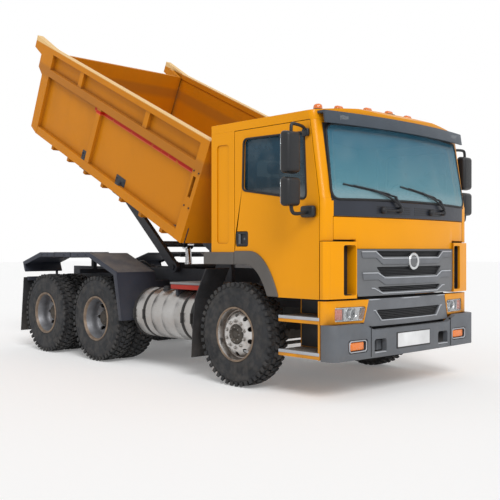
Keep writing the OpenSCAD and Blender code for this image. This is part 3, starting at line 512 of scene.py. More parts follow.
def make_plastic(name, colour, roughness=0.55, grain=420, dust_top=0.25, reach=0.9):
    """Moulded plastic with a fine leather grain, greyed where dust settles."""
    f = Finish(name, specular_ior_level=0.4)
    base = f.mix(f.noise(4, 4).between(0.35, 0.7) * 0.6, colour, tuple(c * 1.35 for c in colour))
    f.put("Base Color", dusted(f, base, (0.16, 0.14, 0.12), 0.2, reach, 0.3, dust_top))
    f.put("Roughness", f.noise(30, 4) * 0.15 + roughness)
    cells = f.node("ShaderNodeTexVoronoi", {}, {"Vector": f.place(), "Scale": grain}, "Distance")
    f.bump(cells, 0.0012, 0.35)
    return f.material


def make_tyre_rubber():
    """Black rubber with pale dirt caked on it, darkened in its grooves as painted shade."""
    f = Finish("tyre_rubber", specular_ior_level=0.35)
    base = f.mix(f.noise(6, 5).between(0.3, 0.7), (0.014, 0.015, 0.017), (0.034, 0.035, 0.038))
    caked = f.noise(11, 6).between(0.42, 0.72)
    base = f.mix(caked * 0.42, base, (0.105, 0.095, 0.085))
    # Painted shade: ambient occlusion darkens the grooves between the lugs.
    f.put("Base Color", f.mix(f.corners(0.03) * 0.7, base, (0.010, 0.009, 0.008)))
    f.put("Roughness", f.noise(20, 4) * 0.2 + 0.68)
    f.bump(f.noise(150, 4), 0.002, 0.4)
    return f.material


def make_wheel_alloy():
    """Polished alloy, scuffed, with brake dust and painted shade in its corners."""
    f = Finish("wheel_alloy", metallic=1.0, specular_ior_level=0.5)
    base = f.mix(f.noise(9, 5).between(0.35, 0.75), (0.62, 0.61, 0.60), (0.42, 0.40, 0.38))
    # Painted shade in the corners, from ambient occlusion, with brake dust scuffs: both darken and
    # dull the metal.
    shade_and_dirt = f.corners(0.05) * 1.2 + f.noise(25, 4).between(0.55, 0.8) * 0.25
    f.put("Base Color", f.mix(shade_and_dirt.between(0.1, 1), base, (0.16, 0.12, 0.09)))
    f.put("Metallic", 1 - shade_and_dirt.between(0.3, 1) * 0.7)
    f.put("Roughness", f.noise(40, 5) * 0.2 + 0.2)
    f.bump(f.noise(90, 3), 0.0008, 0.2)
    return f.material


def make_wheel_lip():
    """The outer flange, browned by road dirt."""
    f = Finish("wheel_lip", specular_ior_level=0.4)
    f.put("Base Color", f.mix(f.noise(14, 5).between(0.3, 0.7), (0.26, 0.19, 0.13),
                              (0.14, 0.10, 0.075)))
    f.put("Metallic", f.noise(10, 3).between(0.3, 0.7) * 0.5)
    f.put("Roughness", f.noise(30, 4) * 0.2 + 0.4)
    return f.material


def make_wheel_steel():
    """Painted steel, chalky and stained with brake dust, with painted shade in its corners."""
    f = Finish("wheel_steel", specular_ior_level=0.5)
    base = f.mix(f.noise(8, 5).between(0.3, 0.7), (0.23, 0.235, 0.25), (0.14, 0.14, 0.15))
    # Painted shade in the corners, from ambient occlusion, with brake dust stains.
    shade_and_dirt = f.corners(0.06) * 1.1 + f.noise(18, 5).between(0.5, 0.8) * 0.3
    f.put("Base Color", f.mix(shade_and_dirt.between(0.1, 1), base, (0.09, 0.065, 0.05)))
    f.put("Metallic", 0.55 - shade_and_dirt.between(0.2, 1) * 0.5)
    f.put("Roughness", f.noise(40, 4) * 0.2 + 0.36)
    f.bump(f.noise(80, 4), 0.001, 0.3)
    return f.material


def make_aluminium(name, stretch):
    """Rolled aluminium: fine drawn lines along the sheet, dull patches, painted shade in its
    corners.
    """
    f = Finish(name, specular_ior_level=0.5)
    lines = f.noise(30, 5, stretch)
    base = f.mix(f.noise(3, 4).between(0.3, 0.75), (0.46, 0.45, 0.44), (0.34, 0.32, 0.30))
    # Painted shade in the corners, from ambient occlusion, with dull dirty patches.
    shade_and_dirt = f.corners(0.08) + f.noise(5, 6).between(0.5, 0.75) * 0.35
    f.put("Base Color", f.mix(shade_and_dirt.between(0.1, 1), base, (0.20, 0.165, 0.13)))
    f.put("Metallic", 0.95 - shade_and_dirt.between(0.2, 1) * 0.6)
    f.put("Roughness", lines * 0.22 + 0.2)
    f.bump(lines, 0.0006, 0.2)
    return f.material


def make_steel(name, colour=(0.50, 0.50, 0.50), roughness=0.3):
    f = Finish(name, metallic=0.9)
    f.put("Base Color", f.mix(f.noise(12, 5).between(0.35, 0.7), colour,
                              tuple(c * 0.7 for c in colour)))
    f.put("Roughness", f.noise(50, 4) * 0.15 + roughness)
    f.bump(f.noise(120, 3), 0.0005, 0.2)
    return f.material


def make_chequer():
    """Trodden aluminium plate with raised dashes set two ways."""
    f = Finish("chequer_plate", specular_ior_level=0.5)
    across, along = f.axis(Y), f.axis(X)
    first = f.node("ShaderNodeMath", {"operation": "SINE"}, {0: (across + along) * 150})
    second = f.node("ShaderNodeMath", {"operation": "SINE"}, {0: (across - along) * 150})
    dashes = (first * second).between(0.35, 0.6)
    f.put("Base Color", f.mix(dashes, (0.16, 0.155, 0.15), (0.42, 0.41, 0.40)))
    f.put("Metallic", dashes * 0.4 + 0.3)
    f.put("Roughness", 0.62 - dashes * 0.25)
    f.bump(dashes, 0.003, 0.8)
    return f.material


def make_rubber(name="black_rubber", colour=(0.012, 0.012, 0.013), dust_top=0.3):
    f = Finish(name, specular_ior_level=0.35)
    base = f.mix(f.noise(7, 4).between(0.4, 0.75) * 0.6, colour, tuple(c * 2.4 for c in colour))
    f.put("Base Color", dusted(f, base, (0.12, 0.10, 0.08), 0.1, 0.9, 0.45, dust_top))
    f.put("Roughness", f.noise(40, 3) * 0.2 + 0.55)
    f.bump(f.noise(200, 3), 0.0008, 0.3)
    return f.material


def make_glass(name, tint, alpha, reflection_top_colour=None, low=0.0, high=1.0):
    """Tinted sheet glass with a painted reflection that shifts its colour from bottom to top and
    paints a pale band along its lower edge; faint dust film.
    """
    f = Finish(name, roughness=0.03, specular_ior_level=0.22)
    # Painted reflection: the colour changes with height, from the lower colour to the top colour.
    height = f.axis(Z).between(low, high)
    film = f.noise(2.5, 5).between(0.45, 0.8) * 0.25
    colour = f.mix(height, tint, reflection_top_colour or tint)
    if reflection_top_colour:
        # Painted reflection: a pale band along the lower edge.
        shelf = (1 - f.axis(Z).between(low + 0.02, low + 0.13)) * 0.7
        colour = f.mix(shelf, colour, tuple(0.25 + c * 0.75 for c in tint))
    f.put("Base Color", f.mix(film, colour, (0.35, 0.37, 0.37)))
    f.put("Alpha", film * 0.35 + alpha)
    return f.material


def make_glass_with_rear_glow():
    """Clear glass in front; the rear window glows as painted light, standing for the day seen
    through it.
    """
    f = Finish("glass_with_painted_glow", roughness=0.05, specular_ior_level=0.4, emission_strength=0.75)
    # Painted light: the rear window is nearly opaque and glows.
    rear = f.axis(X) < 2.0
    haze = f.noise(2, 4).between(0.3, 0.8)
    f.put("Base Color", f.mix(haze, (0.30, 0.46, 0.48), (0.22, 0.36, 0.40)))
    f.put("Alpha", rear * 0.85 + 0.10)
    f.put("Emission Color", f.mix(rear, (0, 0, 0), (0.62, 0.80, 0.82)))
    return f.material


def make_lamp(name, colour, alpha, ribs=180, glow=0.0):
    """A moulded lens with fine flutes."""
    f = Finish(name, roughness=0.12, specular_ior_level=0.6, coat_weight=0.5, coat_roughness=0.04)
    flutes = f.node("ShaderNodeMath", {"operation": "SINE"}, {0: f.axis(Y) * ribs * 2})
    f.put("Base Color", f.mix(flutes.between(-1, 1) * 0.35, colour, tuple(c * 0.7 for c in colour)))
    f.put("Alpha", flutes.between(-1, 1) * 0.08 + alpha)
    f.bump(flutes, 0.0015, 0.4)
    if glow:
        f.put("Emission Color", colour)
        f.put("Emission Strength", glow)
    return f.material


def make_fabric(name, colour):
    """Woven seat cloth: crossed threads."""
    f = Finish(name, roughness=0.9, sheen_weight=0.3, specular_ior_level=0.2)
    threads = [f.node("ShaderNodeTexWave", {"bands_direction": way}, {
        "Vector": f.place(), "Scale": 160, "Distortion": 1.2, "Detail": 2}, "Fac") for way in "XYZ"]
    weave = (threads[0] + threads[1] + threads[2]) / 3
    f.put("Base Color", f.mix(weave.between(0.3, 0.7), tuple(c * 0.6 for c in colour), colour))
    f.bump(weave, 0.0015, 0.5)
    return f.material


def make_mirror_glass():
    f = Finish("mirror_glass", metallic=1.0, roughness=0.03)
    f.put("Base Color", f.mix(f.noise(3, 4).between(0.4, 0.8) * 0.3, (0.75, 0.78, 0.80),
                              (0.5, 0.52, 0.52)))
    return f.material


cab_paint = make_cab_paint().material
lined_paint = make_lined_paint()
bed_paint = make_bed_paint()
frame_paint = make_dark_metal("frame_paint", (0.016, 0.018, 0.024))
fender_plastic = make_plastic("fender_plastic", (0.022, 0.026, 0.040), 0.5, 300, 0.75, 1.3)
axle_iron = make_dark_metal("axle_iron", (0.030, 0.027, 0.024), 0.6, amount=0.7)
engine_iron = make_dark_metal("engine_iron", (0.05, 0.048, 0.045), 0.55)
hoist_steel = make_dark_metal("hoist_steel", (0.020, 0.022, 0.028), 0.45, top=0.3)
box_plastic = make_plastic("box_plastic", (0.03, 0.032, 0.036), 0.5)
tank_grey = make_dark_metal("tank_grey", (0.16, 0.165, 0.17), 0.4)
tank_aluminium = make_aluminium("tank_aluminium", (0.15, 6, 6))
black_rubber = make_rubber()
guard_rubber = make_rubber("guard_rubber", (0.018, 0.018, 0.020), 0.4)
grey_plastic = make_plastic("grey_plastic", (0.100, 0.110, 0.125), 0.42)
visor_plastic = make_plastic("visor_plastic", (0.040, 0.052, 0.068), 0.34, 420, 0.1)
grille_grey = make_grille_grey()
flare_plastic = make_plastic("flare_plastic", (0.10, 0.092, 0.085), 0.6)
dark_plastic = make_plastic("dark_plastic", (0.012, 0.013, 0.016), 0.45)
mirror_black = make_plastic("mirror_black", (0.010, 0.011, 0.013), 0.3, 600, 0.15)
dash_plastic = make_plastic("dash_plastic", (0.055, 0.058, 0.062), 0.6, 300, 0.0)
cowl_paint = make_dark_metal("cowl_paint", (0.010, 0.013, 0.022), 0.22, amount=0.0, top=0.1)
screen_glass = make_glass("screen_glass", (0.17, 0.42, 0.50), 0.44, (0.035, 0.180, 0.30), 1.95,
                          2.72)
side_glass = make_glass("side_glass", (0.006, 0.022, 0.034), 0.84, (0.010, 0.050, 0.085), 1.95, 2.5)
glass_with_painted_glow = make_glass_with_rear_glow()
clear_lens = make_lamp("clear_lens", (0.55, 0.58, 0.60), 0.12)
amber_lens = make_lamp("amber_lens", (0.85, 0.20, 0.008), 0.94)
red_lens = make_lamp("red_lens", (0.45, 0.01, 0.008), 0.95)
rod_chrome = make_steel("rod_chrome", (0.72, 0.73, 0.75), 0.08)
bare_steel = make_steel("bare_steel", (0.42, 0.40, 0.38), 0.3)
bright_metal = make_steel("bright_metal", (0.70, 0.71, 0.72), 0.15)
tyre_rubber = make_tyre_rubber()
wheel_alloy = make_wheel_alloy()
wheel_lip = make_wheel_lip()
wheel_steel = make_wheel_steel()
chequer_plate = make_chequer()
seat_cloth = make_fabric("seat_cloth", (0.055, 0.058, 0.065))
mirror_glass = make_mirror_glass()

NODE_FINISH = {
    frame_paint: ["frame", "subframe", "tank_brackets", "fender_brackets", "leaf_springs"],
    axle_iron: ["front_axle", "drive_axles", "drive_shafts", "knuckle_right", "knuckle_left",
                "tie_rod"],
    engine_iron: ["engine"],
    tank_aluminium: ["fuel_tank"],
    box_plastic: ["battery_box"],
    tank_grey: ["hydraulic_tank"],
    fender_plastic: ["rear_fenders"],
    guard_rubber: ["mud_flaps", "wheel_guards"],
    grey_plastic: ["bumper"],
    grille_grey: ["lower_grille", "grille"],
    cab_paint: ["headlamp_panels", "air_deflectors", "cab_steps", "front_panel"],
    lined_paint: ["cab", "roof", "door_right", "door_left"],
    dark_plastic: ["headlamps"],
    visor_plastic: ["sun_visor"],
    amber_lens: ["roof_lamps"],
    side_glass: ["door_glass_right", "door_glass_left"],
    glass_with_painted_glow: ["cab_windows"],
    dash_plastic: ["dashboard", "steering_wheel"],
    seat_cloth: ["seats"],
    flare_plastic: ["cab_flares", "door_flare_right", "door_flare_left"],
    mirror_black: ["mirrors_right", "mirrors_left"],
    bed_paint: ["bed", "tailgate"],
    hoist_steel: ["hoist_arms", "hoist_cylinder"],
    rod_chrome: ["hoist_rod"],
    tyre_rubber: [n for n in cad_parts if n.startswith("tyre")],
    wheel_alloy: [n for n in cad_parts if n.startswith("rim")],
}
for node_finish, node_names in NODE_FINISH.items():
    for node_name in node_names:
        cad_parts[node_name].data.materials.clear()
        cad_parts[node_name].data.materials.append(node_finish)


# ---------------------------------------------------------------- camera, light and floor

CAMERA_LENS, CAMERA_PLACE, CAMERA_LOOK = 56.8, (7.793, -6.844, 1.44), Vector((-0.725, 0.689, 0))
KEY_ENERGY, KEY_SPREAD, KEY_LOOK = 1.75, 24, Vector((-0.85, 0.50, -0.80))


def set_up_studio():
    scene = bpy.context.scene
    scene.view_settings.view_transform = "Standard"
    camera = bpy.data.objects.new("camera", bpy.data.cameras.new("camera"))
    scene.collection.objects.link(camera)
    camera.data.lens = CAMERA_LENS
    camera.data.clip_end = 500
    camera.location = CAMERA_PLACE
    camera.rotation_euler = CAMERA_LOOK.to_track_quat("-Z", "Y").to_euler()
    scene.camera = camera

    key = bpy.data.objects.new("key_light", bpy.data.lights.new("key_light", "SUN"))
    scene.collection.objects.link(key)
    key.data.energy = KEY_ENERGY
    key.data.angle = radians(KEY_SPREAD)
    key.rotation_euler = KEY_LOOK.to_track_quat("-Z", "Y").to_euler()

    world = bpy.data.worlds.new("studio")
    scene.world = world
    world.use_nodes = True
    nodes, links = world.node_tree.nodes, world.node_tree.links
    background = nodes["Background"]
    background.inputs["Color"].default_value = (1, 1, 1, 1)
    path = nodes.new("ShaderNodeLightPath")
    seen = path.outputs["Is Camera Ray"]
    for ray in ("Is Transmission Ray", "Is Glossy Ray"):
        either = nodes.new("ShaderNodeMath")
        either.operation = "MAXIMUM"
        links.new(seen, either.inputs[0])
        links.new(path.outputs[ray], either.inputs[1])
        seen = either.outputs[0]
    level = nodes.new("ShaderNodeMapRange")
    links.new(seen, level.inputs["Value"])
    level.inputs["To Min"].default_value = 0.5
    level.inputs["To Max"].default_value = 1.0
    links.new(level.outputs[0], background.inputs["Strength"])

    clear()
    bpy.ops.mesh.primitive_plane_add(size=160, location=(0, 0, -0.001))
    floor = settle("floor")
    f = Finish("floor_pale", roughness=0.9, specular_ior_level=0.1)
    f.put("Base Color", f.mix(f.noise(0.3, 2), (0.90, 0.90, 0.90), (0.91, 0.91, 0.91)))
    f.put("Emission Color", (1, 1, 1))
    f.put("Emission Strength", 0.17)
    floor.data.materials.append(f.material)


set_up_studio()


# ---------------------------------------------------------------- wheels

HUB_Z = 0.55
HUB = Vector((0, 0, HUB_Z))
WHEEL_Y, INNER_WHEEL_Y = 1.10, 0.79
LUGS = 44
AXLES = {"front": 1.65, "middle": -1.03, "rear": -2.33}


def model_tyre():
    """One tyre about the line (0, 0, HUB_Z), its outer side towards -Y."""
    half = [(0.113, 0.286), (0.128, 0.292), (0.133, 0.302), (0.1345, 0.322), (0.1375, 0.330),
            (0.1385, 0.352), (0.1395, 0.356), (0.1395, 0.364), (0.1385, 0.368), (0.1395, 0.400),
            (0.1395, 0.425), (0.1375, 0.430), (0.1375, 0.436), (0.1390, 0.441), (0.1365, 0.462),
            (0.1310, 0.488), (0.1240, 0.508), (0.1150, 0.520), (0.0800, 0.5265), (0.0400, 0.5290)]
    profile = half + [(0, 0.5295)] + [(-a, r) for a, r in reversed(half)]
    carcass = lathe("carcass", HUB, -1, profile, 72)
    lugs = []
    for side in (-1, 1):
        shoulder = block("shoulder", (-0.021, side * 0.066, 0.50), (0.021, side * 0.137, 0.5475))
        with editing(shoulder):
            pick(shoulder, lambda c, n: n.y * side > 0.9)
            grow((0.8, 1, 0.55), (0, side * 0.137, 0.503))
            pick(shoulder, lambda c, n: n.y * side < -0.9)
            shift((side * 0.014, 0, 0.0015))
            take_all()
            shift((side * 0.012, 0, HUB_Z))
        lugs.append(ringed(ease(shoulder, 0.0035, 1), LUGS, HUB))
        block_row = block("row", (-0.027, side * 0.006, 0.515), (0.027, side * 0.058, 0.549))
        with editing(block_row):
            pick(block_row, lambda c, n: n.y * side > 0.9)
            shift((-side * 0.017, 0, -0.001))
            take_all()
            shift((-side * 0.012, 0, HUB_Z))
        lugs.append(ringed(ease(block_row, 0.003, 1), LUGS, HUB))
    return joined("tyre", carcass, *lugs)


def model_nuts(name, reach, ring, count, size=0.016):
    """A ring of wheel nuts about the hub line, their ends towards -Y."""
    nut = drum("nut", (0, -reach, HUB_Z + ring), -Y, size, 0.022, 6)
    washer = drum("washer", (0, -reach + 0.011, HUB_Z + ring), -Y, size * 1.35, 0.006, 16)
    stud = drum("stud", (0, -reach - 0.014, HUB_Z + ring), -Y, size * 0.55, 0.012, 10)
    return ringed(ease(joined(name, nut, washer, stud), 0.002, 1, 50), count, HUB)


def model_front_rim():
    profile = [(0.120, 0.291), (0.133, 0.290), (0.1375, 0.284), (0.1365, 0.274), (0.128, 0.268),
               (0.100, 0.2635), (0.060, 0.259), (0.046, 0.254), (0.044, 0.247), (0.056, 0.236),
               (0.078, 0.222), (0.094, 0.204), (0.104, 0.186), (0.110, 0.176), (0.1135, 0.170),
               (0.1135, 0.112), (0.109, 0.106), (0.098, 0.104),
               (0.098, 0.170), (0.090, 0.186), (0.078, 0.206), (0.060, 0.222), (0.030, 0.240),
               (0.020, 0.248), (-0.100, 0.252), (-0.124, 0.266), (-0.136, 0.284), (-0.120, 0.291),
               (-0.108, 0.270), (0.095, 0.272)]
    rim = lathe("rim", HUB, -1, profile, 80)
    vent = drum("vent", (0, -0.085, HUB_Z + 0.2085), -Y, 0.0265, 0.16, 24)
    cut(rim, ringed(vent, 10, HUB))
    return ease(rim, 0.0025, 2, 40)


def model_front_hub():
    return lathe("hub", HUB, -1, [
        (0.02, 0.0), (0.02, 0.102), (0.112, 0.102), (0.122, 0.094), (0.128, 0.080), (0.128, 0.066),
        (0.118, 0.060), (0.112, 0.056), (0.112, 0.040), (0.120, 0.034), (0.124, 0.024),
        (0.124, 0.0)],
        48, loop=False)


def model_rear_rim():
    """The outer wheel of a pair: a deep dish whose disc meets the inner wheel's."""
    profile = [(0.120, 0.291), (0.133, 0.290), (0.138, 0.284), (0.137, 0.270), (0.124, 0.262),
               (0.108, 0.259), (0.102, 0.254), (0.060, 0.251), (0.052, 0.246), (0.000, 0.243),
               (-0.040, 0.238), (-0.058, 0.226), (-0.074, 0.206), (-0.100, 0.182), (-0.116, 0.172),
               (-0.122, 0.166), (-0.122, 0.104), (-0.136, 0.104), (-0.136, 0.172), (-0.120, 0.184),
               (-0.090, 0.212), (-0.070, 0.236), (-0.060, 0.250), (-0.100, 0.254), (-0.124, 0.268),
               (-0.134, 0.284), (-0.120, 0.291), (-0.105, 0.272), (0.095, 0.272)]
    rim = lathe("rim", HUB, -1, profile, 72)
    hand_hole = drum("hand_hole", (0, 0.09, HUB_Z + 0.206), -Y, 0.026, 0.16, 20)
    cut(rim, ringed(hand_hole, 8, HUB))
    return ease(rim, 0.0025, 2, 40)


def model_inner_rim():
    return lathe("inner_rim", HUB, -1, [
        (0.120, 0.291), (0.134, 0.288), (0.137, 0.276), (0.120, 0.264), (0.06, 0.254),
        (-0.02, 0.250),
        (-0.100, 0.252), (-0.124, 0.266), (-0.137, 0.276), (-0.134, 0.288), (-0.120, 0.291),
        (-0.105, 0.272), (0.105, 0.272)], 56)


def model_rear_hub():
    return lathe("rear_hub", HUB, -1, [
        (-0.30, 0.0), (-0.30, 0.200), (-0.160, 0.200), (-0.156, 0.176), (-0.138, 0.172),
        (-0.138, 0.112),
        (-0.118, 0.108), (-0.012, 0.100), (0.002, 0.092), (0.006, 0.078), (0.006, 0.066),
        (0.014, 0.058),
        (0.018, 0.030), (0.018, 0.0)], 48, loop=False)


def model_hub_bolts(reach, ring, count):
    bolt = drum("hub_bolts", (0, -reach, HUB_Z + ring), -Y, 0.0065, 0.012, 6, 0.001)
    return ringed(bolt, count, HUB)


def tint_lip(piece, x, inside):
    """Gives the faces out past a radius the browned flange finish."""
    piece.data.materials.append(wheel_lip)
    for face in piece.data.polygons:
        if hypot(face.center.x - x, face.center.z - HUB_Z) > inside:
            face.material_index = 1


def build_wheels():
    tyre = model_tyre()
    front = {"rim": (model_front_rim(), wheel_alloy), "hub": (model_front_hub(), axle_iron),
             "nuts": (joined("nuts", model_nuts("nuts", 0.124, 0.140, 10),
                             model_hub_bolts(0.131, 0.073, 8)), bare_steel)}
    rear = {"rim": (model_rear_rim(), wheel_steel), "hub": (model_rear_hub(), axle_iron),
            "nuts": (joined("nuts", model_nuts("nuts", -0.112, 0.140, 10),
                            model_hub_bolts(-0.010, 0.085, 8)), bare_steel)}
    inner_rim = model_inner_rim()
    for axle, x in AXLES.items():
        for side in SIDES:
            twin = axle != "front"
            plural = "s" if twin else ""
            body = f"{axle}_{side}_wheel{plural}"
            parts = {"tyre": tyre, **{k: v[0] for k, v in (rear if twin else front).items()}}
            for kind, model in parts.items():
                piece = copied(model, "part", (x, -WHEEL_Y, 0))
                if twin and kind == "tyre":
                    piece = joined("part", piece, copied(model, "part", (x, -INNER_WHEEL_Y, 0)))
                if twin and kind == "rim":
                    piece = joined("part", piece, copied(inner_rim, "part", (x, -INNER_WHEEL_Y, 0)))
                if side == "left":
                    other = mirrored(piece, "part")
                    bpy.data.objects.remove(piece)
                    piece = other
                name = f"{axle}_{side}_{kind}{plural if kind in ('tyre', 'rim') else ''}"
                piece.name = name
                slot = {"tyre": "tyre_rubber", "hub": "shaft_steel", "nuts": "shaft_steel",
                        "rim": "rear_rim_steel" if twin else "front_rim_alloy"}[kind]
                finish = tyre_rubber if kind == "tyre" else (rear if twin else front)[kind][1]
                replaced = {"tyre": [f"tyre{plural}_{axle}_{side}"],
                            "rim": [f"rim{plural}_{axle}_{side}"]}.get(kind, [])
                fit(piece, body, slot, finish, *replaced)
                if kind == "rim":
                    tint_lip(piece, x, 0.2585 if twin else 0.2665)
    for model in (tyre, inner_rim, *(v[0] for v in front.values()), *(v[0] for v in rear.values())):
        bpy.data.objects.remove(model)


build_wheels()

# ---------------------------------------------------------------- CAD nodes, edges rounded

NODE_EDGE = {
    0.018: ["air_deflectors", "bumper", "roof", "sun_visor"],
    0.010: ["cab", "headlamp_panels", "cab_flares", "door_flare_right", "door_flare_left",
            "dashboard",
            "battery_box", "hydraulic_tank"],
    0.006: ["grille", "lower_grille", "front_panel", "door_right", "door_left", "rear_fenders",
            "bed",
            "tailgate", "mud_flaps", "wheel_guards", "cab_steps", "tank_brackets",
            "fender_brackets",
            "frame", "subframe", "hoist_arms", "drive_axles", "front_axle"],
}


WELD_GAP, FLAT_ANGLE, EDGE_ANGLE = 1e-4, 0.6, 38


def round_edges():
    for width, names in NODE_EDGE.items():
        for name in names:
            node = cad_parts[name]
            weld = node.modifiers.new("Weld", "WELD")
            weld.merge_threshold = WELD_GAP
            flats = node.modifiers.new("Flats", "DECIMATE")
            flats.decimate_type = "DISSOLVE"
            flats.angle_limit = radians(FLAT_ANGLE)
            bevel = node.modifiers.new("Bevel", "BEVEL")
            bevel.width = width
            bevel.segments = 2
            bevel.limit_method = "ANGLE"
            bevel.angle_limit = radians(EDGE_ANGLE)
            bevel.miter_outer = "MITER_ARC"


round_edges()


# ---------------------------------------------------------------- the cab's curved front

PIVOT = Vector((FACE_X - 0.004, 0, WAIST_Z))


def turned_about(centre, angle, axis):
    return Matrix.Translation(centre) @ Matrix.Rotation(angle, 4,
                                                        axis) @ Matrix.Translation(-centre)


LEAN = turned_about(PIVOT, -RAKE, "Y")


def face_x(y):
    return FACE_X - FACE_R + (FACE_R ** 2 - y ** 2) ** 0.5


def on_screen(y, rise, proud=0.0):
    """A point on the leaning screen, by its distance up the slope."""
    return LEAN @ Vector((face_x(y) - 0.004 + proud, y, WAIST_Z + rise))


def leaned(piece):
    return apply_place(piece, LEAN)


def skin(name, across, up, proud, thick, steps=14, width=0.0):
    """A plate that follows the front's curve between two widths and two heights."""
    centre = Vector((FACE_X - FACE_R, 0, 0))
    radius = FACE_R + proud
    clear()
    bpy.ops.mesh.primitive_plane_add(
        size=1, location=(centre.x + radius - thick / 2, 0, (up[0] + up[1]) / 2),
        rotation=(pi / 2, 0, 0))
    bpy.context.object.scale = (thick, up[1] - up[0], 1)
    piece = settle(name)
    start, end = (atan2(y, (radius ** 2 - y ** 2) ** 0.5) for y in across)
    apply_place(piece, turned_about(centre, start, "Z"))
    with editing(piece, "EDGE"):
        bpy.ops.mesh.spin(steps=steps, angle=start - end, center=centre, axis=Z)
        take_all()
        bpy.ops.mesh.remove_doubles(threshold=SAME_POINT)
        take_all()
        bpy.ops.mesh.fill_holes(sides=6)
        take_all()
        bpy.ops.mesh.normals_make_consistent(inside=False)
    return ease(piece, width) if width else shade(piece)


def rounded(outline, radius, steps=5):
    """The outline's points with its corners turned into arcs, in its own plane."""
    points = []
    count = len(outline)
    for i, corner in enumerate(outline):
        corner = Vector(corner)
        before = (Vector(outline[i - 1]) - corner).normalized()
        after = (Vector(outline[(i + 1) % count]) - corner).normalized()
        half = before.angle(after) / 2
        reach = radius / max(0.2, abs(sin(half) / cos(half)) if cos(half) else 1)
        first, last = corner + before * reach, corner + after * reach
        for k in range(steps + 1):
            t = k / steps
            points.append(first * (1 - t) ** 2 + corner * 2 * t * (1 - t) + last * t ** 2)
    return points


def in_front(outline, x=2.6, depth=0.8, name="tool", radius=0.0):
    """A prism along X whose outline is given as (y, z) pairs."""
    corners = [(x, y, z) for y, z in outline]
    points = rounded(corners, radius) if radius else [Vector(c) for c in corners]
    return prism(name, points, (depth, 0, 0))


def build_screen():
    band = skin("screen_band", (-1.150, 1.150), (WAIST_Z - 0.004, WAIST_Z + 0.755), 0.001, 0.010,
                40)
    hole = in_front([(-1.098, WAIST_Z + 0.036), (1.098, WAIST_Z + 0.036), (1.043, WAIST_Z + 0.70),
                     (-1.043, WAIST_Z + 0.70)], radius=0.075)
    cut(band, hole)
    fit(leaned(ease(band, 0.003, 1)), "chassis", "black_rubber", black_rubber)
    edge = [(-1.150, 0.006), (1.150, 0.006), (1.118, 0.748), (-1.118, 0.748)]
    pane = skin("screen_pane", (-1.155, 1.155), (WAIST_Z, WAIST_Z + 0.752), 0.010, 0.006, 40)
    modify_to_outline(pane, [(y, WAIST_Z + z) for y, z in edge], 0.095)
    fit(leaned(shade(pane)), "chassis", "window_glass", screen_glass)
    line = [(p.y, p.z) for p in rounded([(0, y, z) for y, z in edge], 0.10, 6)]
    lip = tube("screen_seal", [on_screen(y, z, 0.010) for y, z in fine_line(line)], 0.0125, 8,
               False, True)
    fit(lip, "chassis", "black_rubber", black_rubber)


def fine_line(points, gap=0.12):
    """Adds points along a closed line so that no stretch is longer than gap."""
    line = []
    for a, b in zip(points, points[1:] + points[:1]):
        parts = max(1, int(hypot(b[0] - a[0], b[1] - a[1]) / gap))
        line += [(a[0] + (b[0] - a[0]) * k / parts, a[1] + (b[1] - a[1]) * k / parts)
                 for k in range(parts)]
    return line


def build_cowl():
    """The dark strip below the screen, as wide as the flap."""
    strip = skin("cowl_strip", (-1.124, 1.124), (1.764, WAIST_Z - 0.006), 0.004, 0.016, 40)
    fit(ease(strip, 0.004), "chassis", "black_rubber", cowl_paint)
    vents = [skin("vent", (side * 0.30 - 0.26, side * 0.30 + 0.26),
                  (1.80 + 0.022 * row, 1.808 + 0.022 * row),
                  0.007, 0.006, 8) for side in (-1, 1) for row in range(4)]
    fit(joined("cowl_louvres", *vents), "chassis", "black_rubber", dark_plastic)


def build_wipers():
    for name, y in (("right", -0.22), ("left", 0.60)):
        foot = Vector((face_x(y) + 0.028, y, 1.845))
        second = Vector((face_x(y - 0.26) + 0.026, y - 0.26, 1.835))
        bosses = [lathe("boss", place, 1, [(-0.03, 0), (-0.03, 0.030), (-0.005, 0.034),
                                           (0.012, 0.028),
                                           (0.020, 0.016), (0.022, 0)], 24, False, X)
                  for place in (foot, second)]
        link = tube("link", [second, (second + foot) / 2 + Vector((0.012, 0, -0.012)), foot], 0.011,
                    8)
        elbow = on_screen(y - 0.10, 0.03, 0.045)
        end = on_screen(y - 0.42, 0.105, 0.030)
        arm = tube("arm", [foot + Vector((0.012, 0, 0)), foot + Vector((0.02, -0.03, 0.04)), elbow,
                           end], 0.010, 8)
        spring = tube("spring", [foot + Vector((0.018, -0.02, 0.03)), elbow], 0.015, 8)
        start, stop = (y - 0.78, 0.155), (y - 0.04, 0.045)
        line = [on_screen(start[0] + (stop[0] - start[0]) * t / 6,
                          start[1] + (stop[1] - start[1]) * t / 6, 0.016)
                for t in range(7)]
        blade = tube("blade", line, 0.009, 8)
        spine = tube("spine", [p + Vector((0.012, 0, 0.006)) for p in line[1:6]], 0.007, 8)
        wiper = joined(f"wiper_{name}", *bosses, link, arm, spring, blade, spine)
        fit(wiper, "chassis", "black_rubber", dark_plastic)


GRILLE_LOW, GRILLE_TOP = 0.988, 1.447


def winged(rise_out, rise_in, outer, bend, inner):
    """Half of a line that runs level, drops inwards and runs level again."""
    return [(outer, rise_out), (bend, rise_out), (inner, rise_in), (0.0, rise_in)]


def both_halves(half):
    return half + [(-y, z) for y, z in half[-2::-1]]


def front_line(half, proud, radius, name="line"):
    points = [Vector((face_x(y) + proud, y, z)) for y, z in both_halves(half)]
    return tube(name, points, radius, 8, smooth=False)


WING_LINES = (winged(1.424, 1.358, 0.785, 0.590, 0.490),
              winged(1.214, 1.162, 0.770, 0.560, 0.455))


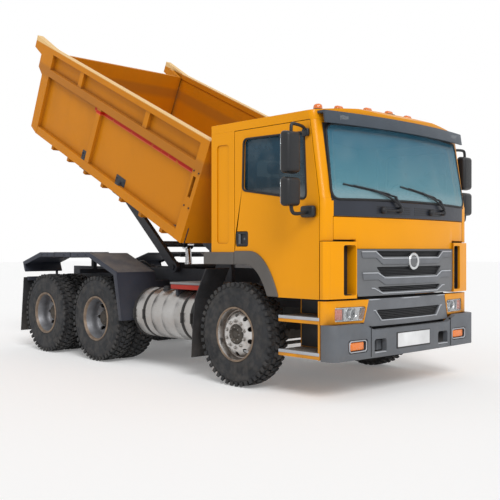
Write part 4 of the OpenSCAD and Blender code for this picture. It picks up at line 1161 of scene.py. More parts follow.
def build_grille():
    """Frame with three winged openings, silver lines along the bars and dark slats behind."""
    plate = skin("grille_frame", (-0.845, 0.845), (GRILLE_LOW, GRILLE_TOP), 0.006, 0.030, 28)
    modify_to_outline(plate, [(-0.815, GRILLE_LOW - 0.01), (0.815, GRILLE_LOW - 0.01),
                              (0.845, 1.045),
                              (0.845, GRILLE_TOP + 0.01), (-0.845, GRILLE_TOP + 0.01),
                              (-0.845, 1.045)], 0.008)
    for top, low, wide, narrow in ((1.434, 1.374, 0.585, 0.520), (1.272, 1.180, 0.575, 0.480),
                                   (1.076, 1.024, 0.560, 0.490)):
        cut(plate, in_front([(-narrow, low), (narrow, low), (wide, top), (-wide, top)],
                            radius=0.012))
    fit(ease(plate, 0.005), "front_flap", "grey_plastic", grille_grey, "grille")
    bars = []
    for half, height in zip(WING_LINES, (0.060, 0.066)):
        upper = both_halves(half)
        lower = [(y * 0.985, z - height) for y, z in upper]
        bar = skin("bar", (-0.80, 0.80), (upper[3][1] - height - 0.01, upper[0][1] + 0.01), 0.016,
                   0.024, 28)
        bars.append(ease(modify_to_outline(bar, lower + upper[::-1], 0.006), 0.005))
    fit(joined("grille_wings", *bars), "front_flap", "grey_plastic", grille_bar)
    lines = [*(front_line(half, 0.018, 0.0065) for half in WING_LINES),
             front_line(winged(1.062, 1.010, 0.640, 0.600, 0.480), 0.008, 0.006)]
    fit(joined("grille_silver_lines", *lines), "front_flap", "grey_plastic", trim_silver)
    back = skin("grille_back", (-0.80, 0.80), (1.0, 1.44), -0.030, 0.008, 16, 0.002)
    slats = [skin("slat", (-0.60, 0.60), (z - 0.0035, z + 0.0035), -0.006, 0.022, 12)
             for z in [1.028 + 0.0165 * k for k in range(25)]]
    fit(joined("grille_slats", back, *slats), "front_flap", "grey_plastic", dark_plastic)
    centre = (face_x(0) + 0.010, 0, 1.325)
    ring = lathe("badge_ring", centre, 1,
                 [(0, 0.060), (-0.004, 0.088), (0.018, 0.088), (0.0245, 0.082),
                                           (0.0245, 0.072), (0.018, 0.062), (0.010, 0.060)], 56,
                                           True, X)
    dome = lathe("badge_centre", centre, 1,
                 [(-0.004, 0), (-0.004, 0.062), (0.010, 0.060), (0.013, 0.040),
                                             (0.014, 0)], 40, False, X)
    fit(ring, "front_flap", "grey_plastic", bright_metal)
    fit(dome, "front_flap", "grey_plastic", grille_grey)


def build_lower_grille():
    """Plate with one wide opening, slats and a silver line under it."""
    plate = skin("lower_frame", (-0.748, 0.748), (0.686, 0.958), -0.006, 0.028, 28)
    modify_to_outline(plate, [(-0.746, 0.68), (0.746, 0.68), (0.672, 0.965), (-0.672, 0.965)],
                      0.004)
    backing = skin("front_backing", (-0.80, 0.80), (0.620, 0.972), -0.085, 0.010, 16, 0.002)
    fit(backing, "chassis", "black_rubber", black_rubber)
    cut(plate, in_front([(-0.470, 0.748), (0.470, 0.748), (0.560, 0.846), (-0.560, 0.846)],
                        radius=0.014))
    fit(ease(plate, 0.005), "chassis", "grey_plastic", grille_bar, "lower_grille")
    back = skin("lower_back", (-0.66, 0.66), (0.700, 0.890), -0.040, 0.008, 16, 0.002)
    slats = [skin("slat", (-0.55, 0.55), (0.7565 + 0.0165 * k, 0.7635 + 0.0165 * k), -0.018, 0.018,
                  10)
             for k in range(6)]
    fit(joined("lower_slats", back, *slats), "chassis", "grey_plastic", dark_plastic)
    line = front_line(winged(0.842, 0.740, 0.600, 0.575, 0.485), -0.004, 0.0065)
    brow = front_line([(0.665, 0.950), (0.0, 0.950)], -0.005, 0.006)
    fit(joined("lower_silver_lines", line, brow), "chassis", "grey_plastic", trim_silver)


def build_headlamp(side):
    s = SIDES[side]
    ends = sorted((s * 0.752, s * 1.104))
    bowl = skin("bowl", ends, (0.756, 0.886), -0.040, 0.006, 8)
    shelf = skin("shelf", ends, (0.756, 0.764), -0.006, 0.036, 8)
    brow = skin("brow", ends, (0.878, 0.886), -0.006, 0.036, 8)
    wall = skin("wall", sorted((s * 0.985, s * 0.995)), (0.760, 0.882), -0.008, 0.034, 2)
    fit(joined(f"headlamp_bowl_{side}", bowl, shelf, brow, wall), "chassis", "lamp_clear",
        bright_metal,
        *(["headlamps"] if side == "right" else []))
    y = s * 0.865
    eye = lathe(f"headlamp_eye_{side}", (face_x(y) - 0.020, y, 0.822), 1,
                [(-0.02, 0.030), (-0.02, 0.056), (0.010, 0.056), (0.013, 0.050), (0.006, 0.040),
                 (0.000, 0.036)], 36, True, X)
    fit(eye, "chassis", "lamp_clear", bright_metal)
    globe = lathe(f"headlamp_globe_{side}", (face_x(y) - 0.022, y, 0.822), 1,
                  [(-0.010, 0), (-0.010, 0.038), (0.004, 0.034), (0.013, 0.022), (0.017, 0.010),
                   (0.018, 0)],
                  32, False, X)
    fit(globe, "chassis", "lamp_clear", dark_lens)
    amber = skin(f"indicator_{side}", sorted((s * 1.005, s * 1.098)), (0.768, 0.874), -0.012, 0.014,
                 4, 0.006)
    fit(amber, "chassis", "lamp_amber", red_amber)
    lens = skin("lens", sorted((s * 0.712, s * 1.107)), (0.7535, 0.8885), -0.001, 0.005, 12)
    outline = [(s * 0.749, 0.756), (s * 1.106, 0.756), (s * 1.106, 0.886), (s * 0.709, 0.886)]
    modify_to_outline(lens, outline[::s], 0.03)
    lens.name = f"headlamp_lens_{side}"
    fit(ease(lens, 0.0015, 1), "chassis", "lamp_clear", clear_lens)


def modify_to_outline(piece, outline, radius):
    """Keeps only what lies inside an outline seen from the front."""
    tool = in_front(outline, radius=radius)
    modify(piece, "BOOLEAN", operation="INTERSECT", solver="EXACT", object=tool)
    bpy.data.objects.remove(tool)
    return piece


def build_bumper_fittings():
    for side, s in SIDES.items():
        y = s * 0.885
        bumper_x = 3.05 - 25.0 + (25.0 ** 2 - y ** 2) ** 0.5
        lamp = block(f"fog_lamp_{side}", (bumper_x - 0.055, y - 0.105, 0.470),
                     (bumper_x - 0.012, y + 0.105, 0.560), 0.022, 4)
        fit(lamp, "chassis", "lamp_amber", amber_lens)
        rim = tube(f"fog_rim_{side}", [(bumper_x - 0.008, y + a * 0.128, 0.515 + b * 0.052) for a,
                                       b in
                                   ((-1, -0.7), (-0.85, -1), (0.85, -1), (1, -0.7), (1, 0.7),
                                    (0.85, 1), (-0.85, 1), (-1, 0.7))],
                           0.007, 8, smooth=False, loop=True)
        fit(rim, "chassis", "grey_plastic", trim_silver)
        y = s * 0.55
        lip = block(f"tow_lip_{side}", (3.000, y - 0.090, 0.428), (3.046, y + 0.090, 0.440), 0.004)
        fit(lip, "chassis", "grey_plastic", trim_silver)
        seam = block(f"bumper_seam_{side}", (3.020, s * 0.700 - 0.002, 0.40),
                     (3.047, s * 0.700 + 0.002, 0.70), 0.001)
        fit(seam, "chassis", "grey_plastic", dark_plastic)
    plate = block("number_plate", (3.0500, -0.28, 0.460), (3.0560, 0.28, 0.600), 0.0015, 2)
    fit(plate, "chassis", "grey_plastic", plate_white)
    holder = block("plate_holder", (3.028, -0.296, 0.444), (3.0530, 0.296, 0.610), 0.005)
    with editing(holder):
        pick(holder, lambda c, n: n.x > 0.9)
        bpy.ops.mesh.inset(thickness=0.012, depth=-0.002)
    fit(holder, "chassis", "grey_plastic", dark_plastic)


trim_silver = make_plastic("trim_silver", (0.40, 0.42, 0.45), 0.3, 500, 0.05)
grille_bar = make_plastic("grille_bar", (0.125, 0.132, 0.145), 0.36, 420, 0.05)
dark_lens = make_lamp("dark_lens", (0.03, 0.035, 0.04), 0.95, 40)
red_amber = make_lamp("red_amber", (0.75, 0.12, 0.02), 0.9)
plate_white = make_plastic("plate_white", (0.72, 0.73, 0.74), 0.35, 700, 0.0)
build_screen()
build_cowl()
build_wipers()
build_grille()
build_lower_grille()
for lamp_side in SIDES:
    build_headlamp(lamp_side)
build_bumper_fittings()

# ---------------------------------------------------------------- sides, roof and steps

def curve(a, b, c, d, steps=12):
    """Points along a smooth bend from a to d, drawn towards b and c."""
    points = []
    for k in range(steps + 1):
        t = k / steps
        weights = (1 - t) ** 3, 3 * (1 - t) ** 2 * t, 3 * (1 - t) * t ** 2, t ** 3
        points.append(tuple(sum(w * p for w, p in zip(weights, place)) for place in zip(a, b, c, d)))
    return points


def on_both_sides(build):
    """Makes a piece on the right, and its mirror copy on the left."""
    for side in SIDES:
        piece, body, slot, finish, replaced = build()
        name = piece.name
        if side == "left":
            other = mirrored(piece, "left")
            bpy.data.objects.remove(piece)
            piece = other
        piece.name = f"{name}_{side}"
        fit(piece, body.format(side=side), slot, finish, *(r.format(side=side) for r in replaced))


def model_scoop_throat():
    """The scoop's back, outer wall, floor and ceiling, near-black as painted shade."""
    cup = block("scoop_throat", (2.868, -1.0195, 1.0035), (2.935, -0.8625, 1.4865))
    cut(cup, block("tool", (2.874, -1.013, 1.010), (3.2, -0.80, 1.480)))
    # Near-black finish: painted shade inside the scoop.
    return ease(cup, 0.001, 1), "chassis", "cab_paint", black_rubber, []


def build_scoops():
    """The cab's corner vanes, each with an upright slot beside the grille."""
    vanes = bpy.data.objects.new("air_scoops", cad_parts["air_deflectors"].data.copy())
    bpy.context.scene.collection.objects.link(vanes)
    with editing(vanes, "VERT"):
        take_all()
        bpy.ops.mesh.remove_doubles(threshold=SAME_POINT)
    cut(vanes, *(in_front([(s * 0.862, 1.003), (s * 1.020, 1.003), (s * 1.020, 1.487),
                           (s * 0.862, 1.487)],
                          x=2.868, radius=0.025) for s in (-1, 1)))
    with editing(vanes, "EDGE"):
        take_all()
        bpy.ops.mesh.dissolve_limited(angle_limit=0.02)
    modify(vanes, "BEVEL", width=0.016, segments=4, limit_method="ANGLE", angle_limit=radians(40))
    fit(shade(vanes), "chassis", "cab_paint", cab_paint, "air_deflectors")
    on_both_sides(model_scoop_throat)


build_scoops()


def model_flare():
    inner = [(1.676, 1.290), (1.80, 1.290)] + curve((1.84, 1.290), (1.985, 1.285), (2.085, 1.17),
                                                    (2.165, 0.974))
    outer = [(1.676, 1.430), (1.86, 1.430)] + curve((1.90, 1.430), (2.08, 1.430), (2.22, 1.25),
                                                    (2.318, 0.974))
    outline = [(x, -1.222, z) for x, z in inner + outer[::-1]]
    flare = prism("door_arch", outline, (0, -0.046, 0), 0.012, 3)
    return flare, "{side}_door", "grey_plastic", flare_plastic, ["door_flare_{side}"]


def model_mirror_heads():
    heads = []
    for low, high in ((1.845, 2.125), (2.150, 2.555)):
        head = block("head", (2.676, -1.610, low), (2.784, -1.405, high))
        with editing(head):
            pick(head, lambda c, n: n.x > 0.9)
            grow((1, 0.86, 0.93), (2.784, -1.5075, (low + high) / 2))
        ease(head, 0.036, 5)
        with editing(head):
            pick(head, lambda c, n: n.x < -0.97 and c.x < 2.680)
            bpy.ops.mesh.inset(thickness=0.006, depth=-0.004)
        heads.append(head)
    return joined("mirror_heads",
                  *heads), "{side}_door", "mirror_black", mirror_black, ["mirrors_{side}"]


def model_mirror_arms():
    top = tube("top", [(2.730, -1.505, 2.50), (2.730, -1.505, 2.585), (2.728, -1.500, 2.615),
                       (2.722, -1.470, 2.626),
                       (2.710, -1.360, 2.622), (2.700, -1.300, 2.612), (2.697, -1.275, 2.590),
                       (2.695, -1.262, 2.565)], 0.016, 12)
    low = tube("low", [(2.730, -1.505, 1.90), (2.730, -1.505, 1.830), (2.732, -1.495, 1.790),
                       (2.736, -1.450, 1.775),
                       (2.740, -1.380, 1.785), (2.742, -1.290, 1.800)], 0.018, 12)
    foot = block("foot", (2.655, -1.312, 1.748), (2.825, -1.249, 1.862), 0.026, 4)
    cap = block("cap", (2.655, -1.285, 2.528), (2.737, -1.249, 2.602), 0.014, 3)
    return joined("mirror_arms", top, low, foot,
                  cap), "{side}_door", "mirror_black", mirror_black, []


def model_mirror_glass():
    panes = [block("pane", (2.6735, -1.592, low), (2.6765, -1.423, high), 0.001, 1)
             for low, high in ((1.875, 2.095), (2.185, 2.520))]
    return joined("mirror_panes", *panes), "{side}_door", "mirror_black", mirror_glass, []


def model_handle():
    plate = block("handle_bowl", (1.694, -1.2515, 1.479), (1.871, -1.2305, 1.631), 0.012, 3)
    with editing(plate):
        pick(plate, lambda c, n: n.y < -0.98 and abs(c.x - 1.7825) < 0.03)
        bpy.ops.mesh.inset(thickness=0.016, depth=0)
        bpy.ops.mesh.inset(thickness=0.003, depth=-0.014)
    return shade(plate), "{side}_door", "mirror_black", dark_plastic, []


def model_handle_bar():
    bar = block("handle_grip", (1.730, -1.2525, 1.500), (1.762, -1.238, 1.610), 0.006, 3)
    lock = drum("lock", (1.815, -1.2375, 1.555), Y, 0.013, 0.010, 20, 0.002)
    return joined("handle_grip", bar, lock), "{side}_door", "mirror_black", grey_plastic, []


def model_window_seal():
    corners = [(1.795, 0, 2.060), (1.810, 0, 2.590), (2.660, 0, 2.575), (2.690, 0, 1.925)]
    line = [(p.x, p.z) for p in rounded(corners, 0.055, 6)]
    points = [(x, -1.2475, z) for x, z in fine_line(line)]
    return (tube("window_seal", points, 0.0115, 8, smooth=False, loop=True),
            "{side}_door", "black_rubber", black_rubber, [])


TREADS_Z = (0.4545, 0.7895)


def model_treads():
    """Trodden plates on the two steps."""
    treads = [block("tread", (2.330, -1.238, z), (2.842, -0.915, z + 0.006), 0.002, 1)
              for z in TREADS_Z]
    return joined("step_treads", *treads), "chassis", "grey_plastic", chequer_plate, []


def model_nosings():
    noses = [block("nose", (2.318, -1.2560, z - 0.022), (2.852, -1.236, z + 0.009), 0.006, 3)
             for z in TREADS_Z]
    return joined("step_nosings", *noses), "chassis", "grey_plastic", trim_silver, []


def model_step_back():
    back = block("step_backs", (2.335, -0.935, 0.470), (2.840, -0.918, 0.735), 0.004)
    riser = block("riser", (2.335, -0.935, 0.800), (2.840, -0.918, 0.950), 0.004)
    return joined("step_backs", back, riser), "chassis", "black_rubber", dark_plastic, []


def model_visor_lamp():
    centre = on_screen(-0.955, 0.792, 0.086)
    lamp = block("visor_lamp", centre - Vector((0.018, 0.060, 0.022)),
                 centre + Vector((0.014, 0.060, 0.022)), 0.009, 3)
    return lamp, "chassis", "lamp_clear", clear_lens, []


for model in (model_flare, model_mirror_heads, model_mirror_arms, model_mirror_glass, model_handle,
              model_handle_bar, model_window_seal, model_treads, model_nosings, model_step_back,
              model_visor_lamp):
    on_both_sides(model)


def roof_z(y):
    return 2.870 - y * y / 17.45


def build_roof_lamps():
    ambers, bases = [], []
    for y in (-0.765, -0.35, 0.0, 0.35, 0.765):
        x = face_x(y) - 0.330
        z = roof_z(y)
        bases.append(block("base", (x - 0.006, y - 0.062, z - 0.02),
                           (x + 0.078, y + 0.062, z + 0.014), 0.010, 3))
        dome = block("dome", (x + 0.004, y - 0.052, z + 0.006), (x + 0.068, y + 0.052, z + 0.045))
        with editing(dome):
            pick(dome, lambda c, n: n.z > 0.9)
            grow((0.7, 0.84, 1), (x + 0.032, y, z + 0.045))
        ambers.append(ease(dome, 0.014, 4))
    for y in (-1.005, 1.005):
        z = roof_z(y)
        bases.append(lathe("base", (2.62, y, z), 1,
                           [(-0.03, 0), (-0.03, 0.056), (0.010, 0.056), (0.018, 0.048), (0.018, 0)],
                           32, False, Z))
        ambers.append(lathe("dome", (2.62, y, z), 1,
                            [(0.014, 0), (0.014, 0.046), (0.040, 0.045), (0.056, 0.040),
                                                      (0.066, 0.026), (0.070, 0.010), (0.0705, 0)],
                                                      32, False, Z))
    fit(joined("roof_lamp_bases", *bases), "chassis", "grey_plastic", dark_plastic)
    fit(joined("roof_lamp_domes", *ambers), "chassis", "lamp_amber", amber_lens, "roof_lamps")


build_roof_lamps()


# ---------------------------------------------------------------- tank and boxes

STRAPS_X = (-0.270, -0.075, 0.665, 0.840)


def build_tank():
    middle = (0.285, -0.8475, 0.667)
    half = 0.620
    end = [(half, 0), (half, 0.20), (half - 0.008, 0.255), (half - 0.024, 0.285),
           (half - 0.05, 0.3005), (half - 0.075, 0.3025)]
    seams = []
    for x in (0.21, -0.02, -0.23):
        seams += [(x + 0.012, 0.3025), (x + 0.006, 0.2995), (x - 0.006, 0.2995),
                  (x - 0.012, 0.3025)]
    profile = end + seams + [(-a, r) for a, r in reversed(end)]
    fit(lathe("tank_shell", middle, 1, profile, 72, False, X), "chassis", "tank_aluminium",
        tank_aluminium, "fuel_tank")
    straps = [lathe("strap", (x, *middle[1:]), 1,
                    [(-0.024, 0.302), (-0.024, 0.3055), (-0.018, 0.3085), (0.018, 0.3085),
                                                            (0.024, 0.3055), (0.024, 0.302)], 72,
                                                            True, X)
              for x in STRAPS_X]
    for x in STRAPS_X:
        straps.append(block("buckle", (x - 0.014, middle[1] - 0.322, 0.60),
                            (x + 0.014, middle[1] - 0.300, 0.72), 0.005))
    fit(joined("tank_straps", *straps), "chassis", "black_rubber", black_rubber)
    cap = lathe("tank_cap", (0.10, -0.93, 0.955), 1,
                [(-0.02, 0), (-0.02, 0.05), (0.012, 0.05), (0.016, 0.044), (0.016, 0.040),
                                                     (0.040, 0.038), (0.046, 0.032), (0.046, 0)],
                                                     28, False, Z)
    fit(cap, "chassis", "black_rubber", dark_plastic)
    board = block("tank_board", (0.365, -1.085, 0.980), (0.925, -0.620, 1.040), 0.008, 3)
    fit(board, "chassis", "lamp_amber", red_paint)
    top = block("tank_board_top", (0.358, -1.092, 1.036), (0.932, -0.612, 1.062), 0.008, 3)
    fit(top, "chassis", "tank_grey", tank_grey)
    feet = [block("foot", (x - 0.02, -1.06, 0.90), (x + 0.02, -0.66, 0.985), 0.004)
            for x in (0.45, 0.84)]
    fit(joined("tank_board_feet", *feet), "chassis", "black_rubber", frame_paint)


red_paint = make_paint("red_paint", (0.42, 0.018, 0.012), (0.10, 0.02, 0.012),
                       0.35, 0.1, 1.2, 0.3).material
build_tank()

# ---------------------------------------------------------------- chassis fittings

def model_fender_skirt():
    line = [(-0.409, 0.56), (-0.528, 1.172), (-1.156, 1.409), (-2.452, 1.409), (-2.962, 1.268),
            (-2.912, 1.140)]
    inner = [(-2.872, 1.130), (-2.905, 1.226), (-2.446, 1.345), (-1.172, 1.345), (-0.592, 1.126),
             (-0.470, 0.56)]
    skirt = prism("fender_skirt", [(x, -1.236, z) for x, z in line + inner], (0, -0.016, 0), 0.005)
    return skirt, "chassis", "box_plastic", fender_plastic, []


def model_fender_seams():
    seams = [block("seam", (x - 0.012, -1.252, 1.335), (x + 0.012, -0.645, 1.4115), 0.004)
             for x in (-1.62, -2.05)]
    bolts = [drum("bolt", (x, -1.254, 1.374), Y, 0.012, 0.012, 6, 0.002)
             for x in (-1.25, -1.45, -1.80, -2.25, -2.40)]
    return joined("fender_straps", *seams, *bolts), "chassis", "box_plastic", frame_paint, []


def model_flap_ribs():
    ribs = [block("rib", (-3.048, -1.20 + 0.07 * k, 0.28), (-3.036, -1.185 + 0.07 * k, 0.98),
                  0.003) for k in range(8)]
    return joined("flap_ribs", *ribs), "chassis", "black_rubber", guard_rubber, []


def model_tail_lamp():
    housing = block("tail_lamp", (-3.045, -0.615, 0.880), (-2.985, -0.445, 0.985), 0.010, 3)
    return housing, "chassis", "box_plastic", dark_plastic, []


def model_tail_lens():
    lens = block("tail_lens", (-3.0485, -0.605, 0.890), (-3.035, -0.500, 0.975), 0.005, 2)
    return lens, "chassis", "lamp_amber", red_lens, []


def model_drum():
    drums = []
    for x in (-1.03, -2.33):
        drums.append(lathe("drum", (x, -0.60, HUB_Z), -1,
                           [(-0.06, 0), (-0.06, 0.19), (-0.05, 0.205), (0.05, 0.208), (0.06, 0.200),
                                                          (0.06, 0)], 40, False))
    return joined("brake_drums", *drums), "chassis", "shaft_steel", axle_iron, []


for model in (model_fender_skirt, model_fender_seams, model_flap_ribs, model_tail_lamp,
              model_tail_lens, model_drum):
    on_both_sides(model)


def build_deck():
    """Air tanks between the rails, valves and fixed hoses on the deck."""
    tanks = []
    for x, y in ((-1.70, 0.0), (-2.75, 0.0)):
        tanks.append(lathe("tank", (x, y, 0.945), 1,
                           [(-0.30, 0), (-0.30, 0.05), (-0.285, 0.085), (-0.26, 0.098),
                            (-0.24, 0.100),
                                                      (0.24, 0.100), (0.26, 0.098), (0.285, 0.085),
                                                      (0.30, 0.05), (0.30, 0)],
                           32, False, Y))
        for side in (-0.15, 0.15):
            tanks.append(lathe("band", (x, y + side, 0.945), 1,
                               [(-0.015, 0.098), (-0.015, 0.104), (0.015, 0.104), (0.015, 0.098)],
                               32, True, Y))
    fit(joined("air_tanks", *tanks), "chassis", "tank_grey", tank_grey)
    pieces = []
    for x, y, size in ((-1.92, -0.32, 0.085), (-2.04, -0.10, 0.07), (-2.20, 0.14, 0.08),
                       (-1.85, 0.30, 0.07)):
        body = block("valve", (x - size, y - size * 0.7, 1.085),
                     (x + size, y + size * 0.7, 1.085 + size * 1.5), 0.012, 2)
        knob = drum("knob", (x, y, 1.085 + size * 1.7), Z, size * 0.45, size * 0.6, 20, 0.006)
        pieces += [body, knob]
    pieces.append(block("valve_plate", (-2.32, -0.385, 1.068), (-1.75, 0.385, 1.088), 0.004))
    fit(joined("deck_valves", *pieces), "chassis", "shaft_steel", hoist_steel)
    hoses = []
    routes = (
        [(-1.92, -0.26, 1.20), (-1.90, -0.20, 1.30), (-1.96, -0.10, 1.33), (-2.08, -0.02, 1.30),
         (-2.20, 0.08, 1.21)],
        [(-2.04, -0.14, 1.18), (-2.12, -0.24, 1.25), (-2.28, -0.32, 1.22), (-2.45, -0.36, 1.12),
         (-2.60, -0.37, 1.075)],
        [(-1.85, 0.26, 1.18), (-1.92, 0.20, 1.27), (-2.06, 0.22, 1.29), (-2.22, 0.30, 1.20),
         (-2.40, 0.36, 1.10), (-2.55, 0.37, 1.075)],
        [(-2.20, 0.20, 1.20), (-2.32, 0.18, 1.26), (-2.48, 0.10, 1.20), (-2.64, 0.02, 1.10),
         (-2.75, 0.0, 1.02)],
    )
    for route in routes:
        hoses.append(tube("hose", route, 0.016, 10))
    fit(joined("deck_hoses", *hoses), "chassis", "black_rubber", black_rubber)


def build_boxes():
    """Lids, latches and ribs of the boxes on the left."""
    lid = block("battery_lid", (0.340, 0.555, 0.905), (0.910, 1.155, 0.948), 0.012, 3)
    ribs = [block("rib", (0.40 + 0.09 * k, 1.146, 0.480), (0.43 + 0.09 * k, 1.156, 0.880), 0.005)
            for k in range(6)]
    latches = [block("latch", (x - 0.02, 1.150, 0.84), (x + 0.02, 1.166, 0.935), 0.004)
               for x in (0.45, 0.80)]
    fit(joined("battery_lid", lid, *ribs), "chassis", "box_plastic", box_plastic)
    fit(joined("battery_latches", *latches), "chassis", "shaft_steel", bare_steel)
    gauge = block("gauge", (-0.02, 1.150, 0.62), (0.02, 1.160, 0.86), 0.004)
    cap = lathe("cap", (-0.15, 0.95, 0.962), 1,
                [(-0.01, 0), (-0.01, 0.055), (0.02, 0.055), (0.026, 0.048), (0.050, 0.044),
                                                (0.055, 0.036), (0.055, 0)], 28, False, Z)
    bands = [block("band", (x - 0.02, 0.552, 0.476), (x + 0.02, 1.156, 0.965), 0.006)
             for x in (-0.24, 0.21)]
    fit(joined("hydraulic_fittings", gauge, cap, *bands), "chassis", "black_rubber", dark_plastic)


build_deck()
build_boxes()


def build_opening_backs():
    """Dark plates behind the bumper's two openings."""
    backs = [block("back", (2.846, s * 0.745 - 0.305, 0.39), (2.858, s * 0.745 + 0.305, 0.63),
                   0.003)
             for s in (-1, 1)]
    fit(joined("tow_backs", *backs), "chassis", "grey_plastic", dark_plastic)


build_opening_backs()


# ---------------------------------------------------------------- bed fittings

def bed_point(u, y, w):
    """A point of the raised bed: back from its front wall, across, up from its floor."""
    ahead, up = HINGE_BACK - u, w + HINGE_DROP
    return Vector((BED_HINGE.x + ahead * cos(TILT) + up * sin(TILT), y,
                   BED_HINGE.z - ahead * sin(TILT) + up * cos(TILT)))


BED_PLACE = (Matrix.Translation(bed_point(0, 0, 0)) @ Matrix.Rotation(TILT, 4, "Y")
             @ Matrix.Rotation(pi, 4, "Z") @ Matrix.Scale(-1, 4, Y))


def raised(piece):
    """Moves a piece modelled flat, X back and Z up from the floor's front edge, to the bed."""
    return face_out(apply_place(piece, BED_PLACE))


def model_bed_brackets():
    parts = []
    for u in (1.50, 2.39):
        plate = block("plate", (u - 0.11, -1.158, -0.035), (u + 0.11, -1.140, 0.215), 0.012)
        hook = drum("hook", (u, -1.175, 0.10), Y, 0.045, 0.055, 24, 0.006)
        lug = block("lug", (u - 0.035, -1.185, 0.045), (u + 0.035, -1.150, 0.155), 0.008)
        bolts = [drum("bolt", (u + a, -1.160, 0.108 + b), Y, 0.011, 0.014, 6)
                 for a in (-0.085, 0.085) for b in (-0.065, 0.065)]
        parts += [plate, hook, lug, *bolts]
    return raised(joined("bed_brackets", *parts)), "bed", "rod_chrome", hoist_steel, []


def model_bed_hinge_plates():
    plate = prism("plate", [(-0.03, -0.590, -0.19), (0.30, -0.590, -0.16), (0.34, -0.590, -0.02),
                            (0.16, -0.590, 0.0),
                            (-0.03, -0.590, 0.0)], (0, 0.024, 0), 0.006)
    boss = drum("boss", (0.056, -0.590, -0.160), Y, 0.070, 0.050, 36, 0.008)
    corner = prism("corner", [(-0.005, -1.156, -0.015), (0.34, -1.156, -0.015),
                              (0.30, -1.156, 0.10), (0.12, -1.156, 0.17),
                              (-0.005, -1.156, 0.19)], (0, 0.014, 0), 0.005)
    bolts = [drum("bolt", (x, -1.160, z), Y, 0.011, 0.014, 6) for x,
             z in ((0.04, 0.03), (0.16, 0.04), (0.27, 0.04), (0.05, 0.13))]
    return raised(joined("bed_hinge_plates", plate, boss, corner,
                         *bolts)), "bed", "rod_chrome", hoist_steel, []


def model_post_details():
    slot = block("slot", (0.066, -1.1265, 0.545), (0.104, -1.112, 0.765), 0.004)
    bolts = [drum("bolt", (x, -1.212, z), Y, 0.010, 0.012, 6) for x,
             z in ((0.03, 0.42), (0.12, 0.42), (0.03, 0.84), (0.12, 0.84))]
    return raised(joined("bed_post_details", slot, *bolts)), "bed", "black_rubber", dark_plastic, []


def model_rope_hooks():
    hooks = []
    for u in (0.55, 0.95, 1.70, 2.10, 2.60, 3.25, 3.60):
        hooks.append(tube("hook", [(u - 0.03, -1.152, 0.075), (u - 0.03, -1.185, 0.060),
                                   (u - 0.015, -1.200, 0.045),
                                   (u + 0.015, -1.200, 0.045), (u + 0.03, -1.185, 0.060),
                                   (u + 0.03, -1.152, 0.075)], 0.006, 8))
    return raised(joined("bed_rope_hooks", *hooks)), "bed", "bed_paint", bed_paint, []


for model in (model_bed_brackets, model_bed_hinge_plates, model_post_details, model_rope_hooks):
    on_both_sides(model)


# ---------------------------------------------------------------- inside the cab

PAD_VOXEL, PAD_FRAMES, PAD_REACH, SEAM_REACH = 0.011, 12, 0.014, 0.012


def swell(piece):
    """Turns a pad's shape into a stuffed one: remeshed, inflated as cloth, then smoothed."""
    modify(piece, "REMESH", mode="VOXEL", voxel_size=PAD_VOXEL)
    rest = [v.co.copy() for v in piece.data.vertices]
    choose(piece)
    cloth = piece.modifiers.new("Cloth", "CLOTH")
    cloth.settings.use_pressure = True
    cloth.settings.uniform_pressure_force = 4
    cloth.settings.effector_weights.gravity = 0
    scene = bpy.context.scene
    for frame_number in range(1, PAD_FRAMES + 1):
        scene.frame_set(frame_number)
    bpy.ops.object.modifier_apply(modifier=cloth.name)
    scene.frame_set(1)
    for vertex, start in zip(piece.data.vertices, rest):
        move = vertex.co - start
        if move.length > PAD_REACH:
            vertex.co = start + move.normalized() * PAD_REACH
    modify(piece, "SUBSURF", levels=1, render_levels=1)
    return shade(piece, 60)


def sewn_pad(name, low, high, channels, axis):
    """A pad with its edges drawn in and sewn channels across it."""
    pad = block(name, low, high, 0.035, 3)
    swell(pad)
    low, high = Vector(low), Vector(high)
    for vertex in pad.data.vertices:
        for at in channels:
            far = (vertex.co[axis] - at) / SEAM_REACH
            if abs(far) < 3:
                vertex.co += (((low + high) / 2) - vertex.co) * 0.05 * 2.718 ** (-far * far)
    return pad


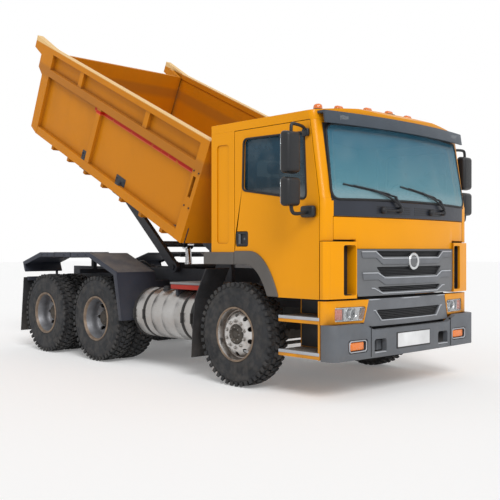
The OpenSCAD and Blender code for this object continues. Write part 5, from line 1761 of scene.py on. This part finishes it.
def build_seats():
    cushion = sewn_pad("cushion", (1.590, -0.785, 1.655), (2.045, -0.335, 1.760), (-0.70, -0.42), 1)
    back = sewn_pad("back", (1.560, -0.775, 1.790), (1.665, -0.345, 2.250), (-0.70, -0.42), 1)
    rest = sewn_pad("rest", (1.560, -0.680, 2.285), (1.640, -0.440, 2.415), (), 1)
    for side, s in SIDES.items():
        for kind, pad, fill in (("cushion", cushion, 0.7), ("back", back, 0.6),
                                ("headrest", rest, 0.6)):
            name = f"seat_{kind}_{side}"
            piece = copied(pad, name) if side == "right" else mirrored(pad, name)
            fit(piece, "chassis", "seat_fabric", seat_cloth,
                *(["seats"] if kind == "cushion" and side == "right" else []))
        y = s * 0.56
        base = block("base", (1.60, y - 0.20, 1.436), (2.00, y + 0.20, 1.640), 0.03, 3)
        shell = block("shell", (1.500, y - 0.225, 1.640), (1.560, y + 0.225, 2.255), 0.025, 3)
        posts = [drum("post", (1.60, y + a, 2.28), Z, 0.008, 0.10, 12) for a in (-0.06, 0.06)]
        fit(joined(f"seat_frame_{side}", base, shell, *posts), "chassis", "dash_plastic",
            dash_plastic)
    for pad in (cushion, back, rest):
        bpy.data.objects.remove(pad)


COLUMN_LEAN = 60


def build_steering_wheel():
    centre = Vector((2.380, 0.560, 1.990))
    ring = lathe("ring", centre, 1, [(0.016 * cos(a * pi / 5), 0.205 + 0.016 * sin(a * pi / 5))
                                     for a in range(10)], 56, True, X)
    boss = lathe("boss", centre, 1, [(-0.05, 0), (-0.05, 0.05), (0.0, 0.075), (0.018, 0.068),
                                     (0.024, 0.045), (0.026, 0)],
                 36, False, X)
    spokes = [tube("spoke", [centre, centre + Vector((0, 0.19 * cos(a), 0.19 * sin(a)))], 0.012, 8)
              for a in (0.2, pi - 0.2, -pi / 2)]
    wheel = apply_place(joined("steering_ring", ring, boss, *spokes),
                        turned_about(centre, radians(-COLUMN_LEAN), "Y"))
    fit(wheel, "chassis", "dash_plastic", dark_plastic)


def build_dash():
    cowl = block("hood", (2.52, 0.36, 1.90), (2.74, 0.78, 1.985), 0.03, 3)
    vents = [block("vent", (2.484, y - 0.07, 1.80), (2.498, y + 0.07, 1.86), 0.006)
             for y in (-0.9, -0.35, 0.1, 0.95)]
    fit(joined("dash_fittings", cowl, *vents), "chassis", "dash_plastic", dark_plastic)


build_seats()
build_steering_wheel()
build_dash()
